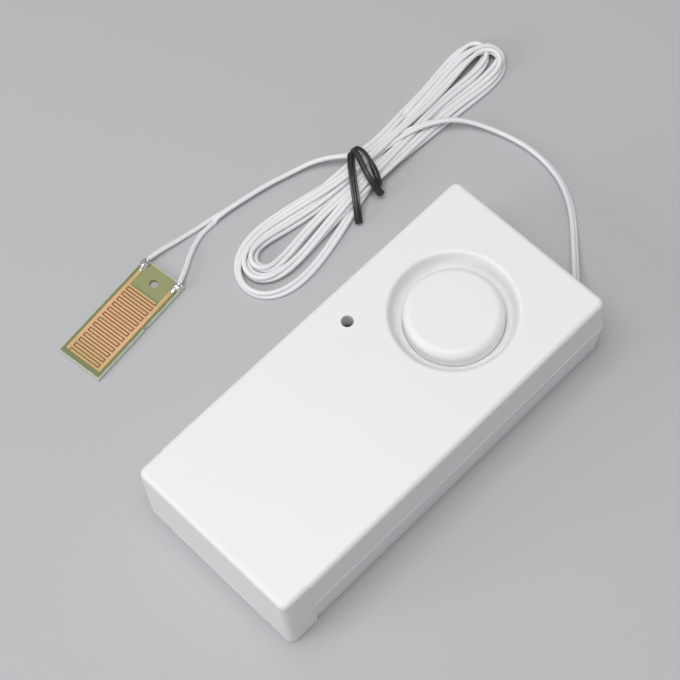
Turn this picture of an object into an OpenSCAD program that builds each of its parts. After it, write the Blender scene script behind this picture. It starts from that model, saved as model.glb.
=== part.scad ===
// Water leak alarm: a white case with a siren, and a wet-sensing probe on a twin cord.
// Millimetres, +Z up. The origin is on the surface that the case stands on, under its middle.
// The cord leaves the case at its +X end, and the battery door slides off at its -X end.

/* [Case] */
// Length of the case
case_l = 110; // [100:1:126]
// Width of the case at its seam
case_w = 51; // [49:1:60]
// Height of the case
case_h = 24; // [23.5:0.5:28]
// Height of the seam between the two shells
seam_h = 12; // [10:0.5:13]
// Wall thickness of the shells
wall = 2; // [1.6:0.1:2.2]
// Corner radius seen from above
corner_r = 2; // [1.5:0.5:5]
// Rounding of the top edges
edge_r = 1.4; // [0.8:0.1:2]
// Rounding of the foot edges
foot_r = 0.7; // [0.4:0.1:1.2]
// How far the top is drawn in from the seam on each side
top_inset = 0.4; // [0.3:0.1:1.2]
// How far the foot is drawn in from the seam on each side
foot_inset = 0.9; // [0.5:0.1:1.2]
// How far the lower shell's rim stands proud of the upper shell
rim_step = 0.1; // [0.1:0.1:0.4]
// Length of the full-height end section over the battery door
end_l = 9; // [7:0.5:12]
// How far that end section is set back from the side walls
end_step = 0.2; // [0.1:0.1:0.4]

/* [Fits] */
// Clearance between pieces that slide or drop in
fit = 0.2; // [0.1:0.05:0.3]

/* [Siren] */
// Distance of the siren's middle from the middle of the case
siren_x = 27.5; // [26.5:0.5:29]
// Radius of the siren's throat at its shelf
throat_r = 12.7; // [12.7:0.1:13.3]
// How far the dish round the dome leans out, in degrees
dish_lean = 53; // [44:1:56]
// Height of that dish above the shelf
dish_h = 1.5; // [1:0.1:1.8]
// How far the throat's wall above the dish leans out, in degrees
throat_lean = 22; // [16:1:28]
// Rounding of the throat's lip
lip_r = 1.1; // [0.5:0.1:1.4]
// Depth of the throat's shelf below the face
throat_d = 5; // [4:0.5:6]
// Radius of the dome in the throat
dome_r = 12.6; // [12:0.1:12.6]
// Rounding of the dome's edge
dome_edge_r = 2.3; // [1.6:0.1:3]
// How far the dome's top lies below the face
dome_drop = 0.1; // [0.1:0.1:1]
// Wall of the dome, the siren cup and the collar
siren_wall = 1.4; // [1.2:0.1:1.5]
// Height of the gap under the dome's edge, where the sound comes out
vent_h = 1; // [0.6:0.1:1.2]
// Depth of the siren cup below the throat's floor
cup_h = 6.2; // [6:0.2:7]
// Thickness of the brass plate
plate_t = 0.25; // [0.2:0.05:0.4]

/* [Indicator] */
// Distance of the indicator from the middle of the case, along it
led_x = 7.7; // [7:0.1:8.5]
// Distance of the indicator from the middle of the case, across it
led_y = 16.7; // [16:0.1:17.5]
// Radius of the indicator's body
led_r = 1.5; // [1.4:0.1:1.6]

/* [Battery] */
// Length of the block battery without its studs
cell_l = 45.8; // [44:0.2:46]
// Width of the block battery
cell_w = 26.2; // [25.5:0.1:26.5]
// Thickness of the block battery
cell_t = 17.2; // [16.5:0.1:17.2]
// Distance between the battery's two studs
stud_pitch = 12.7; // [12.5:0.1:12.9]
// Thickness of the battery door
door_t = 2; // [1.8:0.1:2.2]
// Width of the battery door's plate
door_w = 31; // [29:0.5:32]
// Width of each tongue that the door runs on
tongue_w = 1.5; // [1:0.1:1.8]
// Height of each of the door's thumb ridges
ridge_h = 0.4; // [0.2:0.1:0.6]
// How far the door lies above the surface that the case stands on
door_lift = 0.15; // [0.1:0.05:0.3]

/* [Board] */
// Distance of the circuit board's near edge from the middle of the case
board_x = 5; // [4:0.5:5.5]
// Width of the circuit board
board_w = 38; // [37:0.5:40]
// Thickness of the circuit board
board_t = 1.6; // [1.2:0.2:1.6]
// Height of the posts under the circuit board
post_h = 0.6; // [0.4:0.1:0.8]

/* [Screws] */
// Radius of the case screws' thread
screw_r = 1.2; // [1:0.1:1.3]
// Radius of the case screws' head
head_r = 2.4; // [2.2:0.1:2.6]
// Radius of the screw bosses
boss_r = 3.9; // [3.6:0.1:4]

/* [Cord] */
// Diameter of one insulated wire
wire_d = 1.3; // [1.1:0.1:1.3]
// Distance between the middles of the twin cord's two wires
wire_pitch = 1.2; // [1.1:0.05:1.2]
// Diameter of the tie that holds the hank
tie_d = 1.5; // [1.2:0.1:1.6]
// Height of the folded hank
hank_h = 4.6; // [4.2:0.2:5]

/* [Probe] */
// Length of the probe board
probe_l = 33.5; // [32:0.5:36]
// Width of the probe board
probe_w = 14; // [13.5:0.5:16]
// Thickness of the probe board
probe_t = 1.2; // [1:0.1:1.6]
// Radius of the probe's fixing hole
probe_hole_r = 1.2; // [1:0.1:1.5]
// Distance of the fixing hole from the probe's wired end
probe_hole_in = 4.4; // [4:0.1:5]
// Fingers of each comb track
fingers = 13; // [8:1:14]
// Width of each finger
finger_w = 0.55; // [0.4:0.05:0.6]
// Bare gap between one comb's fingers and the other's
finger_gap = 0.37; // [0.25:0.01:0.42]
// Thickness of the comb tracks
track_t = 0.1; // [0.05:0.05:0.2]

/* [Hidden] */
$fn = 64;

// The case: where the end section starts, and the cavity inside both shells
split_x = end_l - case_l / 2;
end_inset = top_inset + end_step;
end_foot_inset = rim_step + end_step;
cavity_l = case_l - 2 * (top_inset + wall);
cavity_w = case_w - 2 * (top_inset + wall);
cavity_r = max(corner_r - wall, 0.6);
ceiling_z = case_h - wall;
hull_fn = 32;
sliver = 0.02;
reach = 2 * case_l;

// Two case screws at the cord end, and two just short of the circuit board
boss_sink = 0.6;
boss_in = boss_r - boss_sink;
boss_gap = 0.5;
boss_y = cavity_w / 2 - boss_in;
boss_places = [
    for (x = [cavity_l / 2 - boss_in, board_x - boss_r - boss_gap], side = [-1, 1]) [x, side * boss_y]
];
boss_split_z = 6;
screw_hole_r = screw_r + fit;
counterbore_r = head_r + fit;
counterbore_d = 2.6;
head_t = 1.8;
screw_l = 9;
pilot_d = 8;
thread_gap = 0.05;

// The siren's levels, measured down from the face, and where the throat's dish, wall and lip run into each other
shelf_z = case_h - throat_d;
dish_z = shelf_z + dish_h;
dish_r = throat_r + dish_h * tan(dish_lean);
lip_z = case_h - lip_r + lip_r * sin(throat_lean);
lip_in_r = dish_r + (lip_z - dish_z) * tan(throat_lean);
mouth_r = lip_in_r + lip_r * cos(throat_lean);
cup_rim_t = siren_wall;
floor_z = shelf_z - cup_rim_t;
skirt_z = floor_z + vent_h;
shelf_w = 1.5;
collar_r = throat_r + shelf_w;
collar_outer_r = max(collar_r, dish_r + (ceiling_z - dish_z) * tan(throat_lean)) + siren_wall;
cup_r = collar_r - fit / 2;
cup_z = floor_z - cup_h;
ledge_w = 0.8;
plate_in = 0.3;
plate_drop = 2.6;
plate_r = dome_r - siren_wall - plate_in;
plate_z = floor_z - plate_drop;
ceramic_in = 3.5;
ceramic_r = plate_r - ceramic_in;
ceramic_t = 0.25;
dome_feet = 3;
dome_foot_w = 2.5;
dome_foot_rise = 0.3;
piezo_lead_r = 0.5;
piezo_lead_in = 2;
piezo_lead_y = [piezo_lead_in - ceramic_r, plate_r - piezo_lead_in];
dome_z = case_h - dome_drop;

// The battery door runs on tongues over lips in the floor
door_front_x = end_foot_inset - case_l / 2;
lip_t = wall / 2;
tongue_z = lip_t + fit / 2;
door_hole_w = door_w + 2 * fit;
tongue_outer_w = door_w + 2 * tongue_w;
front_bar_l = wall + top_inset - end_foot_inset - fit;
ridges = 4;
ridge_pitch = 1.6;
ridge_in = 5;

// The battery lies against the front wall, on the door
cell_x = fit - cavity_l / 2;
cell_end_x = cell_x + cell_l;
cell_z = max(door_t, wall) + fit;
cell_mid_z = cell_z + cell_t / 2;
cell_r = 2;
stud_h = 2.7;
stud_r = 2.9;
socket_r = 3.6;
snap_ring_t = 0.6;
socket_floor = 0.4;
snap_x = cell_end_x + stud_h + 1.2;
door_back_x = cell_end_x + stud_h + 0.6;
snap_t = 3;
snap_w = 25;
snap_h = 11;
rib_t = siren_wall;
rib_z = cell_z + 2;
rib_y = cell_w / 2 + fit;
rib_front = 2;
rib_back = 4;
pad_margin = 1;
pad_foam_l = 27;

// The board stands on low posts in the lower shell
board_z = wall + post_h;
board_top = board_z + board_t;
board_end_x = boss_places[0][0] - boss_r - boss_gap;
post_r = 2;
board_screw_places = [[board_x + 3.5, 0], [board_end_x - 3, board_w / 2 - 4.5]];
post_places = concat(board_screw_places,
    [[board_x + 3.5, 4 - board_w / 2], [board_end_x - 3, 4.5 - board_w / 2]]);
board_screw_r = 0.9;
board_head_r = 1.8;
board_head_t = 1.2;
board_screw_in = board_z - wall / 2 - 0.1;
chip_x = siren_x - 1;
chip_y = -1;
chip_l = 4.9;
chip_w = 3.9;
chip_t = 1.5;
chip_lift = 0.15;
chip_pitch = 1.27;
chip_leg_w = 0.4;
chip_foot_l = 0.6;
chip_dot = 0.8;
lead_t = 0.25;
resistor_r = 0.9;
resistor_l = 6;
resistor_pitch = 3;
resistor_count = 4;
resistor_y = 7;
transistor_x = board_x + 3.5;
transistor_y = 10;
transistor_r = 2.3;
transistor_h = 4.6;
transistor_lift = 2;
coil_x = board_x + 4;
coil_y = 4 - board_w / 2;
coil_r = 3.4;
coil_h = 9;
coil_rim_t = 1.2;
coil_groove = 0.8;
capacitor_r = 2;
capacitor_l = 7;
capacitor_gap = 0.3;
capacitor_end_x = board_end_x - capacitor_gap;
capacitor_y = capacitor_r - board_w / 2;

// The indicator stands on its legs, with its tip in the guide under the face
guide_z = ceiling_z - 5;
guide_r = led_r + 1.3;
led_tip_z = ceiling_z - 2;
led_base_z = led_tip_z - 5.3;
led_collar_r = led_r + 0.4;
led_collar_t = 0.8;
leg_pitch = 2.54;
leg_r = 0.25;

// The twin cord lies flat, so its section is as wide as its two wires
cord_w = wire_pitch + wire_d;
cord_half = [cord_w / 2, wire_d / 2];
wire_half = [wire_d / 2, wire_d / 2];
exit_r = cord_w / 2 + fit;
stop_l = 2.2;
stop_w = cord_w + 1.4;
stop_h = wire_d + 2.4;
stop_gap = 1.15;
exit_x = case_l / 2;
exit_y = boss_r + stop_gap + stop_w / 2 - boss_y;
lay_z = wire_d / 2;

// Where the cord runs inside the case, from its exit down to the board
inner_route = [
    [exit_x, exit_y, seam_h], [exit_x - 3, exit_y, seam_h], [exit_x - 5.5, exit_y + 0.3, seam_h - 0.6],
    [exit_x - 8, exit_y + 1, seam_h - 2.5], [exit_x - 10, exit_y + 2.5, seam_h - 5],
    [board_end_x - 1.5, exit_y + 4, board_top + lay_z + 0.5], [board_end_x - 4, exit_y + 5, board_top + lay_z]
];

// Where the cord runs outside, from its exit down to the surface and round to the hank
lead_route = [
    [exit_x, exit_y, seam_h], [exit_x + 1.5, exit_y, seam_h], [58.5, -11.9, 11], [60.8, -10.3, 8.8],
    [63.8, -7.6, 6], [67.4, -4.3, 3.7], [71.3, -0.6, 2], [74.6, 2.6, 1.1], [77.5, 5.9, 0.7], [79.8, 9.2, lay_z],
    [81.8, 12.9, lay_z], [83.3, 17.5, lay_z], [84.1, 22.8, lay_z], [84, 28.3, lay_z], [83, 33.7, 0.8],
    [81.4, 38.4, 1.5], [79.1, 42.6, 2.6], [76.3, 46, 3.7], [72.6, 48.8, 4.3], [68.6, 51, 4.4],
    [64.5, 52.8, 4.1], [60.5, 53.9, 3.6], [57, 54.5, 3.2]
];

// Where the cord leaves the tie, and runs to where its two wires part
split_x_out = 11.5;
split_y = 72.6;
tail_route = [
    [51.6, 57.3, 4.2], [48.6, 59.2, 4], [46.2, 61.7, 3.5], [43.7, 63.9, 2.8], [40.9, 65.8, 2], [37.6, 67.2, 1.3],
    [34, 68.3, 0.8], [29.9, 69.5, lay_z], [23.6, 70.8, lay_z], [17.5, 71.8, lay_z],
    [split_x_out + 2, split_y, lay_z], [split_x_out, split_y, lay_z]
];

// The probe lies flat beside the case, with its wired end towards the hank
probe_at = [-24.3, 68.7];
probe_turn = 6;
bus_w = 1;
bus_y = probe_w / 2 - 1.7;
comb_start = probe_l / 2 - 8.2;
pad_l = 2.4;
pad_w = 2;
pad_x = probe_l / 2 - 1.3;
pad_y = probe_w / 2 - 1.4;
solder_r = 1.15;
solder_sink = 0.12;
strand_r = 0.35;
strand_z = probe_t + track_t + strand_r;

// The two wires from where they part to just short of the probe's corner pads
part_y = wire_d / 2 + 0.03;
wire_end_out = 0.6;
wire_end_gap = 0.25;
wire_end_u = probe_l / 2 + wire_end_out + wire_end_gap;
left_wire_route = [
    [split_x_out, split_y + part_y, lay_z], [split_x_out - 1.5, split_y + part_y, lay_z],
    [7, 73.4, lay_z], [3.8, 73.8, 0.8], [0, 74.6, 1.1], [-3.8, 75.4, 1.45],
    probe_point(wire_end_u, pad_y, strand_z)
];
right_wire_route = [
    [split_x_out, split_y - part_y, lay_z], [split_x_out - 1.5, split_y - part_y, lay_z],
    [7.2, 71.4, lay_z], [3.9, 70.2, 0.8], [0.3, 68.6, 1.1], [-2.9, 66.9, 1.4],
    probe_point(wire_end_u, -pad_y, strand_z)
];

// The hank lies along the case, with its two lobes either side of the tie
hank_tie = [50, 53.6];
hank_waist_r = 5.2;
hank_left = [[13, 52.7], 9.6];
hank_right = [[95.4, 54.6], 6.4];

// The tie: once round the hank's waist, and its two ends crossed above
tie_route = [
    [37.2, 43.4, 1], [40, 46.8, 4.2], [43.2, 50.4, 5.9], [46.6, 54, 6.4], [49.4, 57.4, 6.3],
    [51, 59.6, 4.2], [51.4, 59.6, 1.9], [51, 57, 0.9], [50, 53, 0.8], [48.8, 48.6, 0.9],
    [48.4, 46.9, 2.4], [48.8, 47, 4.6], [49.6, 49, 6.3], [50.6, 52.6, 7.2], [51.6, 56, 7.9],
    [53.4, 58.6, 7.6]
];

case_white = [0.93, 0.93, 0.93];
cord_white = [0.9, 0.9, 0.91];
black = [0.06, 0.06, 0.07];
board_green = [0.1, 0.35, 0.16];
laminate = [0.58, 0.6, 0.36];
copper = [0.84, 0.62, 0.42];
steel = [0.75, 0.76, 0.78];
brass = [0.8, 0.65, 0.3];

// A slab with round corners, seen from above
module rounded_slab(l, w, r, h) {
    linear_extrude(h) {
        square([l - 2 * r, w], center = true);
        square([l, w - 2 * r], center = true);
        for (x = [-1, 1], y = [-1, 1]) translate([x * (l / 2 - r), y * (w / 2 - r)]) circle(r);
    }
}

// One round corner of a soft box: a disc whose edge is rounded by e
module corner_disc(r, e) {
    if (e > 0) rotate_extrude($fn = hull_fn) intersection() {
        translate([r - e, 0]) circle(e, $fn = hull_fn);
        translate([0, -e]) square([r, 2 * e]);
    }
    else cylinder(r = r, h = sliver, center = true, $fn = hull_fn);
}

// A box with drafted walls: low and high are [level, length, width, edge rounding]
module soft_box(low, high, r) {
    hull() {
        for (x = [-1, 1], y = [-1, 1]) {
            translate([x * (low[1] / 2 - r), y * (low[2] / 2 - r), low[0] + max(low[3], sliver / 2)])
                corner_disc(r, low[3]);
            translate([x * (high[1] / 2 - r), y * (high[2] / 2 - r), high[0] - max(high[3], sliver / 2)])
                corner_disc(r, high[3]);
        }
    }
}

// Everything on one side of a plane across the case
module half_space(x, side) {
    translate([side > 0 ? x : x - reach, -reach / 2, -reach / 2]) cube(reach);
}

// A tube along a route: half is [half width, half height] of its section
function along(points, i) =
    let (a = points[max(i - 1, 0)], b = points[min(i + 1, len(points) - 1)]) (b - a) / norm(b - a);
function unit(v) = v / norm(v);
function ring(points, i, half, across, sides) =
    let (t = along(points, i), side = unit(cross(across, t)), up = unit(cross(t, side)))
    [for (k = [0:sides - 1]) let (a = 360 * (k + 0.5) / sides)
        points[i] + (half[0] * cos(a) * side + half[1] * sin(a) * up) / cos(180 / sides)];

module swept(points, half, across = [0, 0, 1], sides = 8) {
    rings = len(points);
    polyhedron(
        points = [for (i = [0:rings - 1]) each ring(points, i, half, across, sides)],
        faces = concat(
            [[for (k = [0:sides - 1]) k]],
            [for (i = [0:rings - 2], k = [0:sides - 1])
                let (n = (k + 1) % sides, a = i * sides, b = (i + 1) * sides) each
                    [[a + k, b + k, b + n], [a + k, b + n, a + n]]],
            [[for (k = [sides - 1:-1:0]) (rings - 1) * sides + k]]
        ),
        convexity = 4
    );
}

// A point given along and across the probe, in the frame of the case
function probe_point(u, v, z) = [
    probe_at[0] + u * cos(probe_turn) - v * sin(probe_turn),
    probe_at[1] + u * sin(probe_turn) + v * cos(probe_turn), z];

module at_siren() {
    translate([siren_x, 0, 0]) children();
}

// The throat: a dish round the dome, then a steeper wall with its lip rounded out to the face
module throat_cut() {
    at_siren() {
        translate([0, 0, cup_z - reach]) cylinder(r = collar_r, h = reach + shelf_z - cup_z);
        rotate_extrude() difference() {
            polygon([
                [0, floor_z], [throat_r, floor_z], [throat_r, shelf_z], [dish_r, dish_z], [lip_in_r, lip_z],
                [mouth_r, lip_z], [mouth_r, reach], [0, reach]
            ]);
            translate([mouth_r, case_h - lip_r]) circle(lip_r);
        }
    }
}

module case_outside_upper() {
    intersection() {
        soft_box(
            [seam_h, case_l - 2 * rim_step, case_w - 2 * rim_step, 0],
            [case_h, case_l - 2 * top_inset, case_w - 2 * top_inset, edge_r], corner_r);
        half_space(split_x - sliver, 1);
    }
    intersection() {
        soft_box(
            [0, case_l - 2 * end_foot_inset, case_w - 2 * end_foot_inset, foot_r],
            [case_h, case_l - 2 * end_inset, case_w - 2 * end_inset, edge_r], corner_r);
        half_space(split_x, -1);
    }
}

// The screw bosses between two levels, cut off where they pass the cavity's walls by more than grow
module bosses(low, high, grow) {
    intersection() {
        for (p = boss_places) translate([p[0], p[1], low]) cylinder(r = boss_r, h = high - low);
        rounded_slab(cavity_l + grow, cavity_w + grow, cavity_r, 2 * case_h);
    }
}

module top_shell() {
    color(case_white) difference() {
        union() {
            difference() {
                case_outside_upper();
                translate([0, 0, -1]) rounded_slab(cavity_l, cavity_w, cavity_r, ceiling_z + 1);
            }
            at_siren() translate([0, 0, cup_z + fit]) cylinder(r = collar_outer_r, h = ceiling_z - cup_z);
            translate([led_x, led_y, guide_z]) cylinder(r = guide_r, h = ceiling_z - guide_z + 1);
            bosses(boss_split_z, seam_h, -2 * fit);
            bosses(seam_h, ceiling_z + 1, wall / 2);
            for (side = [-1, 1])
                translate([cell_x + rib_front, side * (rib_y + rib_t / 2) - rib_t / 2, rib_z])
                    cube([cell_l - rib_front - rib_back, rib_t, ceiling_z - rib_z + 1]);
        }
        throat_cut();
        translate([led_x, led_y, 0]) cylinder(r = led_r + fit / 2, h = reach);
        for (p = boss_places)
            translate([p[0], p[1], boss_split_z - 1]) cylinder(r = screw_r, h = pilot_d + 1);
        translate([-case_l, -tongue_outer_w / 2 - fit, -1])
            cube([case_l - cavity_l / 2 + 1, tongue_outer_w + 2 * fit, max(door_t, wall) + fit + 1]);
        cord_hole();
    }
}

// The round hole that the cord leaves by, half in each shell
module cord_hole() {
    translate([cavity_l / 2 - 1, exit_y, seam_h]) rotate([0, 90, 0]) cylinder(r = exit_r, h = case_l);
}

module bottom_shell() {
    color(case_white) difference() {
        union() {
            difference() {
                intersection() {
                    soft_box(
                        [0, case_l - 2 * foot_inset, case_w - 2 * foot_inset, foot_r],
                        [seam_h, case_l, case_w, 0], corner_r);
                    half_space(split_x, 1);
                }
                translate([0, 0, wall]) rounded_slab(cavity_l, cavity_w, cavity_r, case_h);
            }
            intersection() {
                rounded_slab(cavity_l - 2 * fit, cavity_w - 2 * fit, cavity_r, wall);
                half_space(split_x + wall, -1);
            }
            bosses(wall / 2, boss_split_z, wall / 2);
            for (p = post_places)
                translate([p[0], p[1], wall / 2]) cylinder(r = post_r, h = board_z - wall / 2);
            locating_ribs();
        }
        for (p = boss_places) translate([p[0], p[1], -1]) {
            cylinder(r = screw_hole_r, h = reach);
            cylinder(r = counterbore_r, h = counterbore_d + 1);
        }
        for (p = board_screw_places) translate([p[0], p[1], wall / 2]) cylinder(r = board_screw_r, h = reach);
        door_opening();
        cord_hole();
    }
}

// Ribs inside the long walls that line the upper shell up
module locating_ribs() {
    rib_in = 1;
    rib_rise = 1.5;
    rib_x0 = led_x + guide_r + fit;
    rib_x1 = boss_places[0][0] - boss_r - fit;
    for (side = [-1, 1], step = [[fit / 2, seam_h + rib_rise], [0, seam_h]])
        translate([rib_x0, side * (cavity_w / 2 - step[0] - rib_in / 2) - rib_in / 2, wall / 2])
            cube([rib_x1 - rib_x0, rib_in, step[1] - wall / 2]);
}

// The opening in the floor: narrow below, and wider over the lips that carry the tongues
module door_opening() {
    translate([-case_l, -door_hole_w / 2, -1]) cube([case_l + door_back_x + fit, door_hole_w, wall + 2]);
    translate([-case_l, -tongue_outer_w / 2 - fit, lip_t])
        cube([case_l + door_back_x + fit, tongue_outer_w + 2 * fit, wall]);
}

module battery_door() {
    color(case_white) difference() {
        union() {
            translate([door_front_x, -door_w / 2, door_lift])
                cube([door_back_x - door_front_x, door_w, door_t - door_lift]);
            translate([door_front_x, -tongue_outer_w / 2, door_lift])
                cube([front_bar_l, tongue_outer_w, door_t - door_lift]);
            translate([door_front_x, -tongue_outer_w / 2, tongue_z])
                cube([door_back_x - door_front_x, tongue_outer_w, door_t - tongue_z]);
        }
        for (k = [0:ridges - 1])
            translate([door_front_x + ridge_in + k * ridge_pitch, -door_w / 4, door_lift - 1])
                cube([ridge_pitch / 2, door_w / 2, ridge_h + 1]);
    }
}

// A self-tapping screw with a cross in its round head, pointing up
module screw(thread_r, length, big_r, big_t) {
    slot_w = big_r / 3.5;
    slot_l = big_r * 1.2;
    slot_d = big_t * 0.6;
    difference() {
        union() {
            cylinder(r = big_r, h = big_t);
            translate([0, 0, big_t / 2]) cylinder(r = thread_r, h = length - thread_r + big_t / 2);
            translate([0, 0, big_t + length - thread_r])
                cylinder(r1 = thread_r, r2 = thread_r / 4, h = thread_r);
        }
        for (turn = [0, 90]) rotate(turn)
            translate([-slot_l / 2, -slot_w / 2, -1]) cube([slot_l, slot_w, slot_d + 1]);
    }
}

module case_screws() {
    color(steel) for (p = boss_places)
        translate([p[0], p[1], counterbore_d - head_t]) screw(screw_r - thread_gap, screw_l, head_r, head_t);
}

// A revolved cap: outside radius and edge rounding, between two levels
module cap_profile(r, e, low, high) {
    translate([0, low]) square([r, high - e - low]);
    translate([0, low]) square([r - e, high - low]);
    translate([r - e, high - e]) intersection() {
        circle(e);
        square(e);
    }
}

// The dome stands on feet under its edge, so that the sound comes out between them
module siren_dome() {
    color(case_white) at_siren() {
        rotate_extrude() difference() {
            cap_profile(dome_r, dome_edge_r, skirt_z, dome_z);
            translate([0, -sliver])
                cap_profile(dome_r - siren_wall, dome_edge_r - siren_wall, skirt_z, dome_z - siren_wall);
        }
        intersection() {
            translate([0, 0, floor_z]) difference() {
                cylinder(r = dome_r, h = vent_h + dome_foot_rise);
                translate([0, 0, -1]) cylinder(r = dome_r - siren_wall, h = vent_h + dome_foot_rise + 2);
            }
            for (k = [0:dome_feet - 1]) rotate(360 * k / dome_feet + 60)
                translate([0, -dome_foot_w / 2, 0]) cube([reach, dome_foot_w, reach]);
        }
    }
}

module siren_cup() {
    color(case_white) at_siren() difference() {
        translate([0, 0, cup_z]) cylinder(r = cup_r, h = cup_h + cup_rim_t);
        translate([0, 0, floor_z]) cylinder(r = throat_r, h = reach);
        translate([0, 0, plate_z]) cylinder(r = plate_r + fit, h = reach);
        translate([0, 0, cup_z + siren_wall]) cylinder(r = plate_r - ledge_w, h = reach);
        for (y = piezo_lead_y) translate([0, y, cup_z - 1]) cylinder(r = piezo_lead_r + fit, h = reach);
    }
}

module piezo_plate() {
    color(brass) at_siren() translate([0, 0, plate_z]) cylinder(r = plate_r, h = plate_t);
}

module piezo_ceramic() {
    color([0.9, 0.88, 0.8]) at_siren()
        translate([0, 0, plate_z - ceramic_t]) cylinder(r = ceramic_r, h = ceramic_t);
}

module piezo_leads() {
    tops = [plate_z - ceramic_t, plate_z];
    color([0.75, 0.1, 0.1]) at_siren() for (k = [0, 1])
        translate([0, piezo_lead_y[k], board_top]) cylinder(r = piezo_lead_r, h = tops[k] - board_top);
}

module led_body() {
    color([0.55, 0.1, 0.08]) translate([led_x, led_y, 0]) rotate_extrude() {
        translate([0, led_base_z]) square([led_collar_r, led_collar_t]);
        translate([0, led_base_z]) square([led_r, led_tip_z - led_r - led_base_z]);
        translate([0, led_tip_z - led_r]) intersection() {
            circle(led_r);
            square(led_r);
        }
    }
}

module led_legs() {
    color(steel) for (side = [-1, 1])
        translate([led_x, led_y + side * leg_pitch / 2, board_top])
            cylinder(r = leg_r, h = led_base_z - board_top);
}

module main_board() {
    color(board_green) difference() {
        translate([board_x, -board_w / 2, board_z]) cube([board_end_x - board_x, board_w, board_t]);
        for (p = board_screw_places) translate([p[0], p[1], 0]) cylinder(r = board_screw_r + fit, h = reach);
    }
}

module board_screws() {
    color(steel) for (p = board_screw_places)
        translate([p[0], p[1], board_top + board_head_t]) mirror([0, 0, 1])
            screw(board_screw_r - thread_gap, board_t + board_screw_in, board_head_r, board_head_t);
}

module control_chip() {
    color(black) translate([chip_x - chip_l / 2, chip_y - chip_w / 2, board_top + chip_lift])
        difference() {
            cube([chip_l, chip_w, chip_t]);
            translate([chip_dot, chip_dot, chip_t - chip_lift]) cylinder(r = chip_dot / 2, h = chip_t);
        }
}

module chip_legs() {
    rise = chip_lift + chip_t / 2;
    color(steel) for (k = [0:3], side = [-1, 1], leg = [[lead_t, rise], [chip_foot_l, lead_t]])
        translate([
            chip_x + (k - 1.5) * chip_pitch - chip_leg_w / 2,
            chip_y + side * (chip_w + leg[0]) / 2 - leg[0] / 2, board_top
        ]) cube([chip_leg_w, leg[0], leg[1]]);
}

module drive_transistor() {
    color(black) translate([transistor_x, transistor_y, board_top + transistor_lift]) intersection() {
        cylinder(r = transistor_r, h = transistor_h);
        translate([-transistor_r, -transistor_r, 0])
            cube([transistor_r * 1.6, 2 * transistor_r, transistor_h]);
    }
    color(steel) for (k = [-1:1])
        translate([transistor_x, transistor_y + k * chip_pitch, board_top])
            cylinder(r = leg_r, h = transistor_lift);
}

module boost_coil() {
    color([0.25, 0.22, 0.2]) translate([coil_x, coil_y, board_top]) {
        cylinder(r = coil_r, h = coil_rim_t);
        cylinder(r = coil_r - coil_groove, h = coil_h);
        translate([0, 0, coil_h - coil_rim_t]) cylinder(r = coil_r, h = coil_rim_t);
    }
}

module filter_capacitor() {
    color([0.15, 0.15, 0.35])
        translate([capacitor_end_x - capacitor_l, capacitor_y, board_top + capacitor_r]) rotate([0, 90, 0])
            cylinder(r = capacitor_r, h = capacitor_l);
}

module resistors() {
    first_x = siren_x - (resistor_count - 1) / 2 * resistor_pitch;
    color([0.8, 0.72, 0.55]) for (k = [0:resistor_count - 1])
        translate([first_x + k * resistor_pitch, resistor_y, board_top + resistor_r])
            rotate([90, 0, 0]) cylinder(r = resistor_r, h = resistor_l, center = true);
}

module battery_cell() {
    color([0.16, 0.16, 0.17]) translate([cell_x, 0, cell_mid_z]) rotate([0, 90, 0])
        rounded_slab(cell_t, cell_w, cell_r, cell_l);
}

module battery_positive_stud() {
    color(steel) translate([cell_end_x, stud_pitch / 2, cell_mid_z]) rotate([0, 90, 0])
        cylinder(r = stud_r, h = stud_h);
}

module battery_negative_stud() {
    color(steel) translate([cell_end_x, -stud_pitch / 2, cell_mid_z]) rotate([0, 90, 0]) difference() {
        cylinder(r = socket_r, h = stud_h);
        translate([0, 0, socket_floor]) cylinder(r = stud_r, h = stud_h);
    }
}

module battery_pad() {
    color([0.3, 0.3, 0.32])
        translate([cell_x + (cell_l - pad_foam_l) / 2, pad_margin - cell_w / 2, cell_z + cell_t])
            cube([pad_foam_l, cell_w - 2 * pad_margin, ceiling_z - cell_z - cell_t]);
}

module snap_plate() {
    color(black) translate([snap_x, 0, cell_mid_z]) rotate([0, 90, 0])
        rounded_slab(snap_h, snap_w, cell_r, snap_t);
}

module snap_contacts() {
    ring_x = cell_end_x + socket_floor;
    color(steel) {
        translate([ring_x, stud_pitch / 2, cell_mid_z]) rotate([0, 90, 0]) difference() {
            cylinder(r = stud_r + fit / 2 + snap_ring_t, h = snap_x - ring_x);
            translate([0, 0, -1]) cylinder(r = stud_r + fit / 2, h = snap_x - ring_x + 2);
        }
        translate([ring_x + fit, -stud_pitch / 2, cell_mid_z]) rotate([0, 90, 0])
            cylinder(r = stud_r - fit / 2, h = snap_x - ring_x - fit);
    }
}

// A lead from the back of the snap plate down to the board; side is which half it is on
module battery_lead(side) {
    start_x = snap_x + snap_t;
    foot_z = board_top + wire_d / 2;
    swept([
        [start_x, side * 4, cell_mid_z], [start_x + 0.8, side * 4, cell_mid_z],
        [start_x + 2.2, side * 4.7, cell_mid_z - 0.9], [start_x + 3.4, side * 5.4, cell_mid_z - 2.6],
        [start_x + 6.8, side * 6.2, foot_z + 1.35], [start_x + 8.6, side * 6.5, foot_z],
        [start_x + 10.9, side * 6.5, foot_z]
    ], wire_half);
}

module battery_lead_red() {
    color([0.75, 0.08, 0.08]) battery_lead(1);
}

module battery_lead_black() {
    color(black) battery_lead(-1);
}

// A collar pressed on the cord inside the wall, so that a pull doesn't reach the board
module cord_stop() {
    color(black) difference() {
        translate([cavity_l / 2 - stop_l, exit_y - stop_w / 2, seam_h - stop_h / 2])
            cube([stop_l, stop_w, stop_h]);
        swept(inner_route, cord_half);
    }
}

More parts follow.
